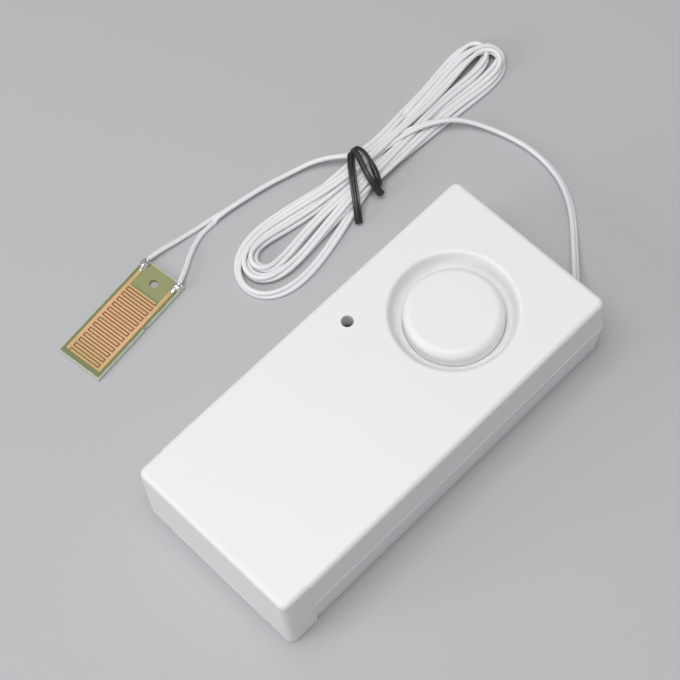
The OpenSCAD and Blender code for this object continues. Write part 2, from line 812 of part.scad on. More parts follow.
module cord_inner() {
    color(cord_white) swept(inner_route, cord_half);
}

module cord_lead() {
    color(cord_white) swept(lead_route, cord_half);
}

module cord_hank() {
    color(cord_white) linear_extrude(hank_h) for (lobe = [hank_left, hank_right]) hull() {
        translate(lobe[0]) circle(lobe[1], $fn = hull_fn);
        translate(hank_tie) circle(hank_waist_r, $fn = hull_fn);
    }
}

module cord_tail() {
    color(cord_white) swept(tail_route, cord_half);
}

module probe_wire_left() {
    color(cord_white) swept(left_wire_route, wire_half);
}

module probe_wire_right() {
    color(cord_white) swept(right_wire_route, wire_half);
}

module twist_tie() {
    color(black) swept(tie_route, [tie_d / 2, tie_d / 2], across = [1, 0, 0]);
}

module at_probe() {
    translate([probe_at[0], probe_at[1], 0]) rotate(probe_turn) children();
}

module probe_board() {
    color(laminate) at_probe() difference() {
        translate([-probe_l / 2, -probe_w / 2, 0]) cube([probe_l, probe_w, probe_t]);
        translate([probe_l / 2 - probe_hole_in, 0, -1]) cylinder(r = probe_hole_r, h = probe_t + 2);
    }
}

// One comb track: a bus along the edge from its pad, and fingers across the board
module comb(side, first) {
    pitch = 2 * (finger_w + finger_gap);
    comb_end = comb_start - (fingers - 0.5) * pitch - finger_w;
    finger_l = 2 * bus_y - bus_w / 2 - finger_gap;
    translate([0, 0, probe_t]) {
        translate([comb_end, side * bus_y - bus_w / 2, 0]) cube([pad_x - comb_end, bus_w, track_t]);
        translate([pad_x - pad_l / 2, side * pad_y - pad_w / 2, 0]) cube([pad_l, pad_w, track_t]);
        for (k = [0:fingers - 1])
            translate([
                comb_start - finger_w - (k + first / 2) * pitch, side > 0 ? bus_y - finger_l : -bus_y, 0
            ]) cube([finger_w, finger_l, track_t]);
    }
}

module probe_track_left() {
    color(copper) at_probe() comb(1, 0);
}

module probe_track_right() {
    color(copper) at_probe() comb(-1, 1);
}

// A low blob of solder on each pad, with the wire's tinned strand running into it
module probe_solder() {
    color(steel) at_probe() for (side = [-1, 1]) {
        intersection() {
            translate([pad_x, side * pad_y, probe_t + track_t - solder_sink]) sphere(solder_r);
            translate([0, 0, probe_t + track_t]) linear_extrude(reach) square(reach, center = true);
        }
        translate([pad_x, side * pad_y, strand_z]) rotate([0, 90, 0])
            cylinder(r = strand_r, h = probe_l / 2 + wire_end_out - pad_x);
    }
}

top_shell();
bottom_shell();
battery_door();
case_screws();
siren_dome();
siren_cup();
piezo_plate();
piezo_ceramic();
piezo_leads();
led_body();
led_legs();
main_board();
board_screws();
control_chip();
chip_legs();
drive_transistor();
boost_coil();
filter_capacitor();
resistors();
battery_cell();
battery_positive_stud();
battery_negative_stud();
battery_pad();
snap_plate();
snap_contacts();
battery_lead_red();
battery_lead_black();
cord_stop();
cord_inner();
cord_lead();
cord_hank();
cord_tail();
probe_wire_left();
probe_wire_right();
twist_tie();
probe_board();
probe_track_left();
probe_track_right();
probe_solder();
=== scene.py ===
"""Dresses the water leak alarm: its finishes, its twin cord and hank, the tie, the probe and the studio."""

import math

import bmesh
import bpy
import numpy as np
from bpy.props import FloatProperty, FloatVectorProperty, IntProperty, PointerProperty
from mathutils import Matrix, Vector, noise


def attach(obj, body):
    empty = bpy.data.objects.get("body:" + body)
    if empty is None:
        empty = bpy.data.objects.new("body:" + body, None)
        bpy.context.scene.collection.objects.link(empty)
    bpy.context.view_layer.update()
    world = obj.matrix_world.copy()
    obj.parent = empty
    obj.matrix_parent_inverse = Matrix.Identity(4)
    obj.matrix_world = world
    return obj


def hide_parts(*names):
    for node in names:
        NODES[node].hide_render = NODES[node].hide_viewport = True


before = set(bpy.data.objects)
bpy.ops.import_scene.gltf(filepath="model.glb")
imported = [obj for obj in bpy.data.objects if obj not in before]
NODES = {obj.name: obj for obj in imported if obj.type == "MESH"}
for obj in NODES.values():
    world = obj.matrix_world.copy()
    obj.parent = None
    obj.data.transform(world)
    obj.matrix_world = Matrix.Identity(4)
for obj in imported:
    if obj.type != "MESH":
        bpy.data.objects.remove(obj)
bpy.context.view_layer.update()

bl_info = {
    "name": "Water leak alarm",
    "version": (1, 0, 0),
    "blender": (4, 5, 0),
    "location": "View3D > Sidebar > Leak Alarm",
    "description": "Builds the looks of a water leak alarm with a wired probe",
    "category": "Object",
}

MM = 0.001
BODY = "housing"

# In a copied solid, points nearer than this in metres are joined, and faces within this angle become one flat
MERGE_GAP = 2e-6
FLAT_ANGLE = 0.6
# The mouldings of the case: each one's share of the edge rounding, and the body that it rides on
MOULDINGS = {
    "top_shell": (1.0, BODY), "bottom_shell": (0.4, BODY), "battery_door": (1.0, "battery_door"),
    "siren_dome": (1.0, BODY), "siren_cup": (1.0, BODY),
}

# The studio, in metres: the floor's half side, the lamps' places and sizes, the side lamp's share of the key's
# power, the spot that both lamps face, and the sky's colour
FLOOR_HALF = 1.5
KEY_AT = (-0.1, 0.0, 0.8)
KEY_SIZE = 0.6
SIDE_AT = (-0.75, 0.3, 0.35)
SIDE_SIZE = 0.5
SIDE_SHARE = 0.55
LAMP_AIM = (0.01, 0.02, 0.0)
SKY_COLOUR = (0.97, 0.985, 1.0, 1.0)

# The photograph's camera: angles in degrees, lengths in millimetres, and its focal length in pixels
FRAME_PIXELS = 680
VIEW_AZIMUTH = -37.659
VIEW_ELEVATION = 63.656
VIEW_ROLL = -8.046
VIEW_DISTANCE = 516.98
VIEW_FOCUS = 2032.54
VIEW_TARGET = (10.177, 23.81, 0.0)
SENSOR = 36.0

# The twin cord, in millimetres
WIRE_D = 1.3
WIRE_PITCH = 1.2
CHAIN_STEP = 1.5
LAY_Z = WIRE_D / 2
EXIT = (55.0, -12.8, 12.0)
# How far the flat cord leans on its edge along each route below, from 0 to 1
LEAN = 0.6
# From the case to the hank
LEAD_ROUTE = [
    EXIT, (56.6, -12.7, 11.85), (58.5, -11.9, 11), (60.8, -10.3, 8.8), (63.8, -7.6, 6), (67.4, -4.3, 3.7),
    (71.3, -0.6, 2), (74.6, 2.6, 1.1), (77.5, 5.9, 0.7), (79.8, 9.2, LAY_Z), (81.8, 12.9, LAY_Z),
    (83.3, 17.5, LAY_Z), (84.1, 22.8, LAY_Z), (84, 28.3, LAY_Z), (83, 33.7, 0.8), (81.4, 38.4, 1.5),
    (79.1, 42.6, 2.6), (76.3, 46, 3.7), (72.6, 48.8, 4.3), (68.6, 51, 4.4), (64.5, 52.8, 4.1),
    (60.5, 53.9, 3.6), (57, 54.5, 3.2),
]
# From the tie to where the two wires part
TAIL_ROUTE = [
    (51.6, 57.3, 4.2), (48.6, 59.2, 4), (46.2, 61.7, 3.5), (43.7, 63.9, 2.8), (40.9, 65.8, 2),
    (37.6, 67.2, 1.3), (34, 68.3, 0.8), (29.9, 69.5, LAY_Z), (23.6, 70.8, LAY_Z), (17.5, 71.8, LAY_Z),
    (13.5, 72.4, LAY_Z), (11.5, 72.6, LAY_Z),
]
TAIL_FIXED_X = 52.0
LEAD_FIXED_Y = 46.0

# The tie's place, the lean of its ring, and the half width and half height that it draws the hank in to
TIE = (50.0, 53.0, 3.75)
TIE_LEAN = 0.22
TIE_HALF = (5.1, 2.5)
# Where the cord's passes lie in the tie, as (y, z): those that go left, then those that go right
LEFT_GOING = [(54.3, 3.1), (54.3, 1.9), (56.8, 1.9), (56.8, 3.1), (54.3, 4.4), (56.9, 4.4)]
RIGHT_GOING = [(51.7, 3.1), (51.7, 1.9), (49.2, 1.9), (49.2, 3.1), (50.5, 4.4)]
# Each turn: x of its end and its widest place, y of its far and near lane, z of far lane, end and near lane
LEFT_TURNS = [
    (8.6, 22, 56.7, 52.7, 1.95, 2.3, 1.95),
    (10.0, 23, 55.4, 53.0, 0.65, 1.25, 0.65),
    (3.2, 19, 60.7, 43.5, 0.65, 1.25, 0.65),
    (7.4, 20, 58.3, 48.9, 0.65, 1.25, 0.65),
    (6.0, 20, 59.5, 48.4, 1.95, 2.3, 1.95),
]
RIGHT_TURNS = [
    (101.0, 90, 56.7, 52.2, 1.95, 2.6, 0.65),
    (99.2, 87, 59.4, 55.6, 0.65, 1.25, 0.65),
    (101.0, 90, 57.9, 49.3, 3.25, 2.0, 0.65),
    (100.0, 88, 55.4, 50.6, 3.25, 3.2, 1.95),
    (99.0, 86, 59.0, 54.8, 1.95, 2.6, 1.95),
]
# The tightest fold of the flat cord, how much longer than round each fold is, and how far the left ends droop
FOLD_R = 2.5 * WIRE_D
FOLD_LONG = 1.0
LEFT_DROOP = 1.5
# How the cord settles: its rounds, the share of an overlap undone and the most that a point is pushed, the steps
# over which a bend is measured and the share of a tight one opened, and how the tie's hold fades beside its ring
SETTLE_ROUNDS = 500
PUSH_SHARE = 0.35
PUSH_MOST = 0.25
OPEN_STEPS = 4
OPEN_SHARE = 0.2
HOLD_TOP = 1.5
HOLD_FADE = 1.6
# The weights of a point and its neighbours when the settled cord is eased
EASE_WEIGHTS = (0.06, 0.24, 0.4, 0.24, 0.06)

# The tie: its long end, once round the hank, over the top to the knot, and its short end back over the top
TIE_ROUTE = [
    (37.2, 43.8, 1), (38.3, 45.2, 3), (40.2, 47.6, 4.9), (43.3, 51.6, 6.4), (46.3, 55.3, 7),
    (48.2, 57.2, 6.9), (49.9, 58.4, 6), (50.9, 58.9, 4.3), (51, 58.6, 2.2), (50.7, 57, 0.8),
    (49.9, 53.2, 0.65), (48.6, 49.2, 0.8), (47.8, 47.2, 2), (47.7, 46.6, 4), (48.3, 47.6, 5.8),
    (49.5, 50.3, 6.9), (50.6, 53.4, 7.4), (50.9, 55.4, 7.7), (50.6, 56.9, 7.9), (49.9, 57.3, 8.1),
    (49.2, 56.5, 8.3), (48.7, 54.9, 8.2), (47.8, 52.6, 7.9), (46.8, 49.9, 7.3), (46.4, 47.5, 6),
    (46.6, 46.1, 4.1), (47.1, 45.2, 2),
]
# The first and last of those points at which the strip lies against the hank
TIE_RING = (6, 14)
# How far the strip is rolled on its edge past the ring, in degrees
TIE_ROLL = 52.0

# The probe: its middle, its turn, and its tracks, in millimetres and degrees
PROBE_AT = (-24.3, 68.7)
PROBE_TURN = 6.0
PROBE_L = 33.5
PROBE_W = 14.0
PROBE_T = 1.2
BUS_W = 1.0
BUS_Y = 5.3
COMB_START = 8.55
PAD = (15.45, 5.6)
PAD_SIZE = (2.4, 2.0)
TRACK_T = 0.1
WIRE_ENDS = (17.0, 16.5)
WIRE_Z = 1.95
STRAND_Z = 1.65
STRAND_R = 0.14
STRAND_RING = 0.26
STRANDS = 5
SPLIT = (11.5, 72.6)
PART_Y = 0.68
NICK_X = 1.6
# The solder on each pad: place along and across the probe, half length, half width and height of each lump
SOLDER_LUMPS = [(15.4, 5.65, 1.3, 1.3, 0.95), (14.2, 5.3, 1.15, 0.85, 0.6), (16.2, 6.1, 0.8, 0.95, 0.65)]


# Finishes


class Value:
    """A shader socket that takes part in sums, differences and products."""

    def __init__(self, finish, socket):
        self.finish = finish
        self.socket = socket

    def math(self, operation, *terms):
        return self.finish.node("ShaderNodeMath", {"operation": operation}, dict(enumerate(terms)))

    def __add__(self, other):
        return self.math("ADD", self, other)

    def __radd__(self, other):
        return self.math("ADD", other, self)

    def __sub__(self, other):
        return self.math("SUBTRACT", self, other)

    def __rsub__(self, other):
        return self.math("SUBTRACT", other, self)

    def __mul__(self, other):
        return self.math("MULTIPLY", self, other)

    def __rmul__(self, other):
        return self.math("MULTIPLY", other, self)

    def __abs__(self):
        return self.math("ABSOLUTE", self)


class Finish:
    """One material: a Principled shader with constants on its own sockets and values from its nodes."""

    def __init__(self, name, **constants):
        self.material = bpy.data.materials.new(name)
        self.material.use_nodes = True
        self.tree = self.material.node_tree
        self.shader = self.tree.nodes["Principled BSDF"]
        for socket, value in constants.items():
            self.shader.inputs[socket.replace("_", " ")].default_value = value

    def node(self, kind, settings=None, inputs=None, output=0):
        made = self.tree.nodes.new(kind)
        for name, value in (settings or {}).items():
            setattr(made, name, value)
        for key, value in (inputs or {}).items():
            if isinstance(value, Value):
                self.tree.links.new(value.socket, made.inputs[key])
            else:
                made.inputs[key].default_value = value
        return Value(self, made.outputs[output])

    def place(self, turn=0.0, middle=(0.0, 0.0, 0.0)):
        """Object coordinates, moved so that middle is the origin, and then turned back by turn degrees."""
        where = self.node("ShaderNodeTexCoord", output="Object")
        if turn == 0.0 and middle == (0.0, 0.0, 0.0):
            return where
        settings = {"vector_type": "TEXTURE"}
        spots = {"Vector": where, "Location": middle, "Rotation": (0.0, 0.0, math.radians(turn))}
        return self.node("ShaderNodeMapping", settings, spots)

    def axis(self, where, name):
        return self.node("ShaderNodeSeparateXYZ", inputs={0: where}, output=name)

    def noise(self, size, detail=2.0, where=None, stretch=None):
        """Noise whose features are about size metres across, from 0 to 1."""
        where = where or self.place()
        if stretch:
            where = self.node("ShaderNodeVectorMath", {"operation": "MULTIPLY"}, {0: where, 1: stretch})
        inputs = {"Vector": where, "Scale": 1.0 / size, "Detail": detail}
        return self.node("ShaderNodeTexNoise", inputs=inputs)

    def ease(self, value, low, high):
        """0 below low, 1 above high and smooth between."""
        settings = {"interpolation_type": "SMOOTHSTEP"}
        return self.node("ShaderNodeMapRange", settings, {"Value": value, "From Min": low, "From Max": high})

    def wave(self, value, pitch):
        """A sine of value, from -1 to 1, with the given pitch in metres."""
        return value.math("SINE", value * (2 * math.pi / pitch))

    def mix(self, share, first, second):
        colours = [c if isinstance(c, Value) else (*c, 1.0) for c in (first, second)]
        inputs = {0: share, 6: colours[0], 7: colours[1]}
        return self.node("ShaderNodeMix", {"data_type": "RGBA"}, inputs, output=2)

    def bump(self, height, depth, strength=1.0):
        inputs = {"Height": height, "Distance": depth, "Strength": strength}
        self.feed("Normal", self.node("ShaderNodeBump", inputs=inputs))

    def feed(self, socket, value):
        self.tree.links.new(value.socket, self.shader.inputs[socket])


def shade(colour, factor):
    return tuple(min(1.0, c * factor) for c in colour)


def moulded(name, colour, rough=0.42, grain=0.00022, depth=0.000012, vary=0.03, **constants):
    """Moulded plastic: a spark-eroded grain, faint flow clouds in the colour and uneven gloss."""
    made = Finish(name, **constants)
    cloud = made.noise(0.018, 3.0)
    fine = made.noise(grain, 2.0)
    made.feed("Base Color", made.mix(cloud, shade(colour, 1 - vary), shade(colour, 1 + vary)))
    made.feed("Roughness", rough - 0.05 + 0.1 * made.noise(0.006, 2.0))
    made.bump(fine, depth)
    return made.material


def metal(name, colour, rough=0.3, brushed=(1.0, 1.0, 8.0), scratch=0.0004, **constants):
    """Bare metal: fine drawn marks in one direction and a blotchy polish."""
    made = Finish(name, Metallic=1.0, **constants)
    marks = made.noise(scratch, 3.0, stretch=brushed)
    blotch = made.noise(0.0035, 3.0)
    made.feed("Base Color", made.mix(blotch, shade(colour, 0.86), colour))
    made.feed("Roughness", rough - 0.08 + 0.12 * blotch + 0.06 * marks)
    made.bump(marks, 0.000008)
    return made.material


def jacket_finish(colour):
    """Soft vinyl along a cord: drawn streaks, dirt and painted shade in its crease and a satin gloss."""
    made = Finish("cord_jacket", Specular_IOR_Level=0.45)
    uv = made.node("ShaderNodeUVMap", {"uv_map": "along"})
    run = made.axis(uv, "X")
    girth = made.axis(uv, "Y")
    streak_spot = made.node("ShaderNodeCombineXYZ", inputs={0: run * 40.0, 1: girth * 9.0})
    streak = made.node("ShaderNodeTexNoise", inputs={"Vector": streak_spot, "Scale": 1.0, "Detail": 3.0})
    # The crease between the two wires is painted darker: partly dirt, partly painted shade.
    crease_dirt_and_shade = 1.0 - made.ease(abs(abs(girth - 0.5) - 0.25), 0.0, 0.035)
    body = made.mix(streak, shade(colour, 0.955), shade(colour, 1.01))
    made.feed("Base Color", made.mix(crease_dirt_and_shade * 0.55, body, shade(colour, 0.5)))
    made.feed("Roughness", 0.36 + 0.1 * streak)
    made.bump(made.noise(0.00025) + 0.6 * streak, 0.00001)
    return made.material


def tie_finish(colour):
    """Glossy coating over a wire, with fine wrinkles across it where it was bent."""
    made = Finish("tie_coating", Specular_IOR_Level=0.6)
    uv = made.node("ShaderNodeUVMap", {"uv_map": "along"})
    wrinkle = made.node("ShaderNodeTexNoise", inputs={"Vector": uv, "Scale": 900.0, "Detail": 2.0})
    cloud = made.noise(0.004, 2.0)
    made.feed("Base Color", made.mix(cloud, colour, shade(colour, 1.7)))
    made.feed("Roughness", 0.24 + 0.14 * cloud)
    made.bump(wrinkle, 0.00002)
    return made.material


def laminate_finish(colour, lit, edge, stain, comb_end):
    """Glass-fibre laminate: a crossed weave, with painted light making it paler round its hole, light sawn edges
    and brown flux with painted shadow between the comb's fingers, up to comb_end."""
    made = Finish("probe_laminate", Coat_Weight=0.25, Coat_Roughness=0.18)
    spot = made.place(PROBE_TURN, (PROBE_AT[0] * MM, PROBE_AT[1] * MM, 0.0))
    x = made.axis(spot, "X")
    y = made.axis(spot, "Y")
    warp = made.wave(x, 0.00042)
    weft = made.wave(y, 0.00036)
    weave = 0.5 + 0.25 * (warp * weft + warp)
    cloud = made.noise(0.004, 3.0, where=spot)
    # Painted light: the board is painted paler round its hole, between the buses past the comb.
    painted_light_zone = made.ease(BUS_Y * MM - abs(y), -0.0006, 0.0012) * made.ease(x - COMB_START * MM, -0.0004, 0.0012)
    tone = made.mix(painted_light_zone, colour, lit)
    fibre = made.mix(weave * 0.4, tone, shade(colour, 0.6))
    fibre = made.mix(cloud * 0.3, fibre, shade(lit, 1.1))
    from_edge_x = PROBE_L / 2 * MM - abs(x)
    from_edge_y = PROBE_W / 2 * MM - abs(y)
    nearest = from_edge_x.math("MINIMUM", from_edge_x, from_edge_y)
    ragged = nearest + 0.0003 * (made.noise(0.0012, where=spot) - 0.5)
    rim = 1.0 - made.ease(ragged, 0.0001, 0.00055)
    fibre = made.mix(rim * 0.95, fibre, edge)
    # Between the fingers the board is painted brown: flux, and painted shadow where the fingers shade it.
    inside = made.ease(COMB_START * MM - x, 0.0, 0.0001) * made.ease(x - comb_end, 0.0, 0.0001)
    inside = inside * made.ease((BUS_Y - BUS_W / 2) * MM - abs(y), 0.0, 0.0001)
    made.feed("Base Color", made.mix(inside * 0.9, fibre, stain))
    made.feed("Roughness", 0.4 + 0.12 * weave)
    made.bump(weave, 0.00001)
    return made.material


def copper_finish(colour, tanned):
    """Bare copper foil gone dull under a thin lacquer, tanned towards both ends and browner in spots."""
    made = Finish("track_copper", Metallic=0.2, Coat_Weight=0.2, Coat_Roughness=0.25)
    spot = made.place(PROBE_TURN, (PROBE_AT[0] * MM, PROBE_AT[1] * MM, 0.0))
    cloud = made.noise(0.0025, 4.0)
    speck = made.ease(made.noise(0.0005, 2.0), 0.55, 0.75)
    ends = made.ease(abs(made.axis(spot, "X") + 0.002) + 0.005 * cloud, 0.007, 0.0145)
    tone = made.mix(cloud, shade(colour, 0.9), shade(colour, 1.08))
    tone = made.mix(ends, tone, tanned)
    made.feed("Base Color", made.mix(speck * 0.3, tone, shade(colour, 0.55)))
    made.feed("Roughness", 0.38 + 0.2 * cloud)
    made.bump(made.noise(0.0002), 0.000006)
    return made.material


def solder_finish():
    """Solder set in ripples, with its reflections painted in: bright where it is smooth, and dark and dull in
    blotches.
    """
    made = Finish("solder", Metallic=1.0)
    blotch = made.ease(made.noise(0.0009, 3.0), 0.36, 0.54)
    ripple = made.noise(0.0004, 2.0)
    # Painted reflection: dark blotches in the colour stand in for the varied surroundings that the solder
    # mirrors.
    made.feed("Base Color", made.mix(blotch, (0.4, 0.39, 0.37), (0.9, 0.9, 0.91)))
    made.feed("Roughness", 0.5 - 0.25 * blotch)
    made.bump(ripple, 0.00005)
    return made.material


def board_finish(colour):
    """Green lacquer over copper tracks, which show as lighter lanes."""
    made = Finish("board_green", Coat_Weight=0.4, Coat_Roughness=0.15)
    spot = made.place()
    lanes = made.wave(made.axis(spot, "X") + 0.4 * made.axis(spot, "Y"), 0.0031)
    mask = made.ease(lanes * made.wave(made.axis(spot, "Y"), 0.0054), 0.15, 0.25)
    made.feed("Base Color", made.mix(mask, shade(colour, 0.7), shade(colour, 1.5)))
    made.feed("Roughness", 0.3 + 0.1 * made.noise(0.001))
    made.bump(mask, 0.00002)
    return made.material


def banded_finish(name, colour, bands, pitch, axis="Z"):
    """A lacquered body with evenly spaced rings of darker colour round it."""
    made = Finish(name, Coat_Weight=0.3, Coat_Roughness=0.2)
    ring = made.ease(made.wave(made.axis(made.place(), axis), pitch), 0.55, 0.7)
    cloud = made.noise(0.002, 2.0)
    made.feed("Base Color", made.mix(ring, made.mix(cloud, shade(colour, 0.92), colour), bands))
    made.feed("Roughness", 0.35 + 0.1 * cloud)
    made.bump(ring + 0.3 * made.noise(0.0003), 0.00002)
    return made.material


def foam_finish(colour):
    """Open-cell foam: pits at two scales, with painted shade darkening the pits."""
    made = Finish("pad_foam")
    pits = made.node("ShaderNodeTexVoronoi", inputs={"Vector": made.place(), "Scale": 1600.0})
    # Painted shade: the colour is darker towards the middle of each pit.
    made.feed("Base Color", made.mix(pits, shade(colour, 0.5), shade(colour, 1.3)))
    made.feed("Roughness", 0.85 + 0.1 * made.noise(0.001))
    made.bump(pits + 0.5 * made.noise(0.0006), 0.00015)
    return made.material


def floor_finish(colour):
    """A plain pale sweep with a very faint unevenness."""
    made = Finish("studio_floor")
    cloud = made.noise(0.35, 2.0)
    made.feed("Base Color", made.mix(cloud, shade(colour, 0.985), shade(colour, 1.015)))
    made.feed("Roughness", 0.75 + 0.1 * made.noise(0.02))
    return made.material


# Making pieces


def piece(name, mesh, material=None, replaces=(), body=BODY):
    """A finished piece at the origin, riding on its body and what it stands for."""
    made = bpy.data.objects.new(name, mesh)
    bpy.context.scene.collection.objects.link(made)
    if material:
        mesh.materials.clear()
        mesh.materials.append(material)
    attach(made, body)
    if replaces:
        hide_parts(*replaces)
    return made


def smooth(mesh, angle=32.0):
    mesh.polygons.foreach_set("use_smooth", [True] * len(mesh.polygons))
    mesh.set_sharp_from_angle(angle=math.radians(angle))
    mesh.update()


def merged(node, name):
    """A copy of a solid's mesh, with its doubled points joined and each flat made one face."""
    shell = bmesh.new()
    shell.from_mesh(NODES[node].data)
    bmesh.ops.remove_doubles(shell, verts=shell.verts, dist=MERGE_GAP)
    limit = math.radians(FLAT_ANGLE)
    bmesh.ops.dissolve_limit(shell, angle_limit=limit, verts=shell.verts, edges=shell.edges)
    mesh = bpy.data.meshes.new(name)
    shell.to_mesh(mesh)
    shell.free()
    return mesh


def work_object(name, mesh):
    """An object that carries modifiers until it is baked."""
    holder = bpy.data.objects.new(name + "_work", mesh)
    bpy.context.scene.collection.objects.link(holder)
    return holder


def dressed_copy(node, name, material, edge, body=BODY, angle=32.0):
    """A merged copy of a solid, with its sharp edges rounded by edge, its curves smooth and its flats flat."""
    mesh = merged(node, name)
    smooth(mesh, angle)
    holder = work_object(name, mesh)
    bevel = holder.modifiers.new("Edges", "BEVEL")
    bevel.width = edge
    bevel.segments = 2
    bevel.limit_method = "ANGLE"
    bevel.angle_limit = math.radians(angle)
    bevel.use_clamp_overlap = True
    flats = holder.modifiers.new("Flats", "WEIGHTED_NORMAL")
    flats.mode = "FACE_AREA"
    flats.weight = 100
    flats.keep_sharp = True
    return piece(name, baked(holder), material, (node,), body)


def baked(holder):
    """The plain mesh that an object's modifiers make. The object itself is removed."""
    graph = bpy.context.evaluated_depsgraph_get()
    mesh = bpy.data.meshes.new_from_object(holder.evaluated_get(graph), depsgraph=graph)
    name = holder.name
    bpy.data.objects.remove(holder)
    mesh.name = name.replace("_work", "")
    return mesh


def curve_through(points, step):
    """Points a step apart on a smooth curve through the given ones, with further columns carried along."""
    p = np.array(points, float)
    ends = np.vstack([2 * p[0] - p[1], p, 2 * p[-1] - p[-2]])
    t = np.linspace(0, 1, 12, endpoint=False)[:, None]
    parts = []
    for a, b, c, d in zip(ends[:-3], ends[1:-2], ends[2:-1], ends[3:]):
        bend = 2 * a - 5 * b + 4 * c - d
        twist = 3 * b - a - 3 * c + d
        parts.append(0.5 * (2 * b + (c - a) * t + bend * t ** 2 + twist * t ** 3))
    fine = np.vstack(parts + [p[-1:]])
    run = np.r_[0, np.cumsum(np.linalg.norm(np.diff(fine[:, :3], axis=0), axis=1))]
    at = np.linspace(0, run[-1], int(round(run[-1] / step)) + 1)
    return np.stack([np.interp(at, run, column) for column in fine.T], 1)


def unit(vectors):
    return vectors / np.maximum(np.linalg.norm(vectors, axis=-1, keepdims=True), 1e-12)


def sweep(name, centres, across, outline, girth):
    """A closed tube: outline points, as (across, up) from the centres, carried along them. UV 'along' is
    in metres along the tube and, from 0 to 1, round it."""
    along = unit(np.gradient(centres, axis=0))
    across = unit(across - along * (across * along).sum(1)[:, None])
    up = np.cross(along, across)
    sides = len(outline)
    rings = centres[:, None] + across[:, None] * outline[None, :, :1] + up[:, None] * outline[None, :, 1:]
    verts = rings.reshape(-1, 3) * MM
    count = len(centres)
    k = np.arange(sides)
    after = (k + 1) % sides
    first = (np.arange(count - 1) * sides)[:, None]
    quads = np.stack([first + k, first + after, first + sides + after, first + sides + k], -1).reshape(-1, 4)
    faces = [tuple(q) for q in quads.tolist()]
    faces += [tuple(range(sides - 1, -1, -1)), tuple(range((count - 1) * sides, count * sides))]
    mesh = bpy.data.meshes.new(name)
    mesh.from_pydata(verts.tolist(), [], faces)
    run = np.r_[0, np.cumsum(np.linalg.norm(np.diff(centres, axis=0), axis=1))] * MM
    closing = np.r_[girth, 1.0]
    uv = mesh.uv_layers.new(name="along")
    corner = np.zeros((len(mesh.loops), 2), np.float32)
    rows = np.repeat(np.arange(count - 1), sides)
    column = np.tile(k, count - 1)
    quad_uv = np.stack([
        np.stack([run[rows], closing[column]], -1), np.stack([run[rows], closing[column + 1]], -1),
        np.stack([run[rows + 1], closing[column + 1]], -1), np.stack([run[rows + 1], closing[column]], -1),
    ], 1).reshape(-1, 2)
    corner[:len(quad_uv)] = quad_uv
    uv.data.foreach_set("uv", corner.ravel())
    check = bmesh.new()
    check.from_mesh(mesh)
    bmesh.ops.recalc_face_normals(check, faces=check.faces)
    check.to_mesh(mesh)
    check.free()
    smooth(mesh, 50.0)
    return mesh


def round_outline(radius, sides):
    turn = 2 * math.pi * np.arange(sides) / sides
    return radius * np.stack([np.cos(turn), np.sin(turn)], 1), np.arange(sides) / sides


def twin_outline():
    """Two round wires side by side, with a crease above and below that lie at 0.25 and 0.75 round."""
    meet = math.acos(WIRE_PITCH / WIRE_D)
    reach = math.pi - meet
    points = []
    girth = []
    for side, middle in ((1, 0.0), (-1, math.pi)):
        for j in range(10):
            turn = middle - reach + 2 * reach * j / 10
            points.append((side * WIRE_PITCH / 2 + WIRE_D / 2 * math.cos(turn), WIRE_D / 2 * math.sin(turn)))
            girth.append(((0.75 if side > 0 else 0.25) + 0.5 * j / 10) % 1.0)
    start = int(np.argmin(girth))
    return np.roll(np.array(points), -start, axis=0), np.roll(np.array(girth), -start)


# The cord


def turn_points(start, stop, shape):
    """One turn from slot to slot: out along one lane, round its end and back. The fourth column says how
    far the flat cord stands on edge, from 0 to 1."""
    end_x, wide_x, far_y, near_y, far_z, end_z, near_z = shape
    away = -1 if end_x < TIE[0] else 1
    lanes = [(far_y, far_z), (near_y, near_z)]
    first, last = lanes if away < 0 else lanes[::-1]
    legs = []
    for slot, lane in ((start, first), (stop, last)):
        leg = []
        for share in (0.0, 0.25, 0.5, 0.75, 1.0):
            ease = 0.7 * share + 0.3 * share * share * (3 - 2 * share)
            y = slot[0] + (lane[0] - slot[0]) * ease
            z = slot[1] + (lane[1] - slot[1]) * ease
            leg.append((TIE[0] + (wide_x - TIE[0]) * share, y, z, 0.0))
        legs.append(leg)
    round_r = max((far_y - near_y) / 2, FOLD_R)
    middle_x = end_x - away * FOLD_LONG * round_r
    arc = []
    for turned in np.radians(np.arange(0, 181, 22.5)):
        out = math.sin(turned)
        y = (far_y + near_y) / 2 - away * round_r * math.cos(turned) - (LEFT_DROOP * out if away < 0 else 0.0)
        z = first[1] + (last[1] - first[1]) * turned / math.pi + (end_z - (first[1] + last[1]) / 2) * out
        arc.append((middle_x + (end_x - middle_x) * out, y, z, min(1.0, 1.3 * out)))
    return legs[0] + arc + legs[1][:0:-1]


def leaning(route):
    """A route's points with how far the cord leans there, which is not at all at the two ends."""
    points = []
    for (x, y, z), turned in zip(route, np.linspace(0, math.pi, len(route))):
        lean = LEAN * min(1.0, 3 * math.sin(turned))
        lift = WIRE_PITCH / 2 * math.sin(math.pi / 2 * lean)
        points.append((x, y, max(z, LAY_Z + lift), lean))
    return points


def cord_guide():
    """The whole cord, from the case to where its wires part, before it settles."""
    points = leaning(LEAD_ROUTE)
    for k in range(len(LEFT_TURNS)):
        points += turn_points(LEFT_GOING[k], RIGHT_GOING[k], LEFT_TURNS[k])
        points += turn_points(RIGHT_GOING[k], LEFT_GOING[k + 1], RIGHT_TURNS[k])
    points.append((TIE[0] + 2.5, *LEFT_GOING[-1], 0.0))
    points += leaning(TAIL_ROUTE)
    return curve_through(points, CHAIN_STEP)


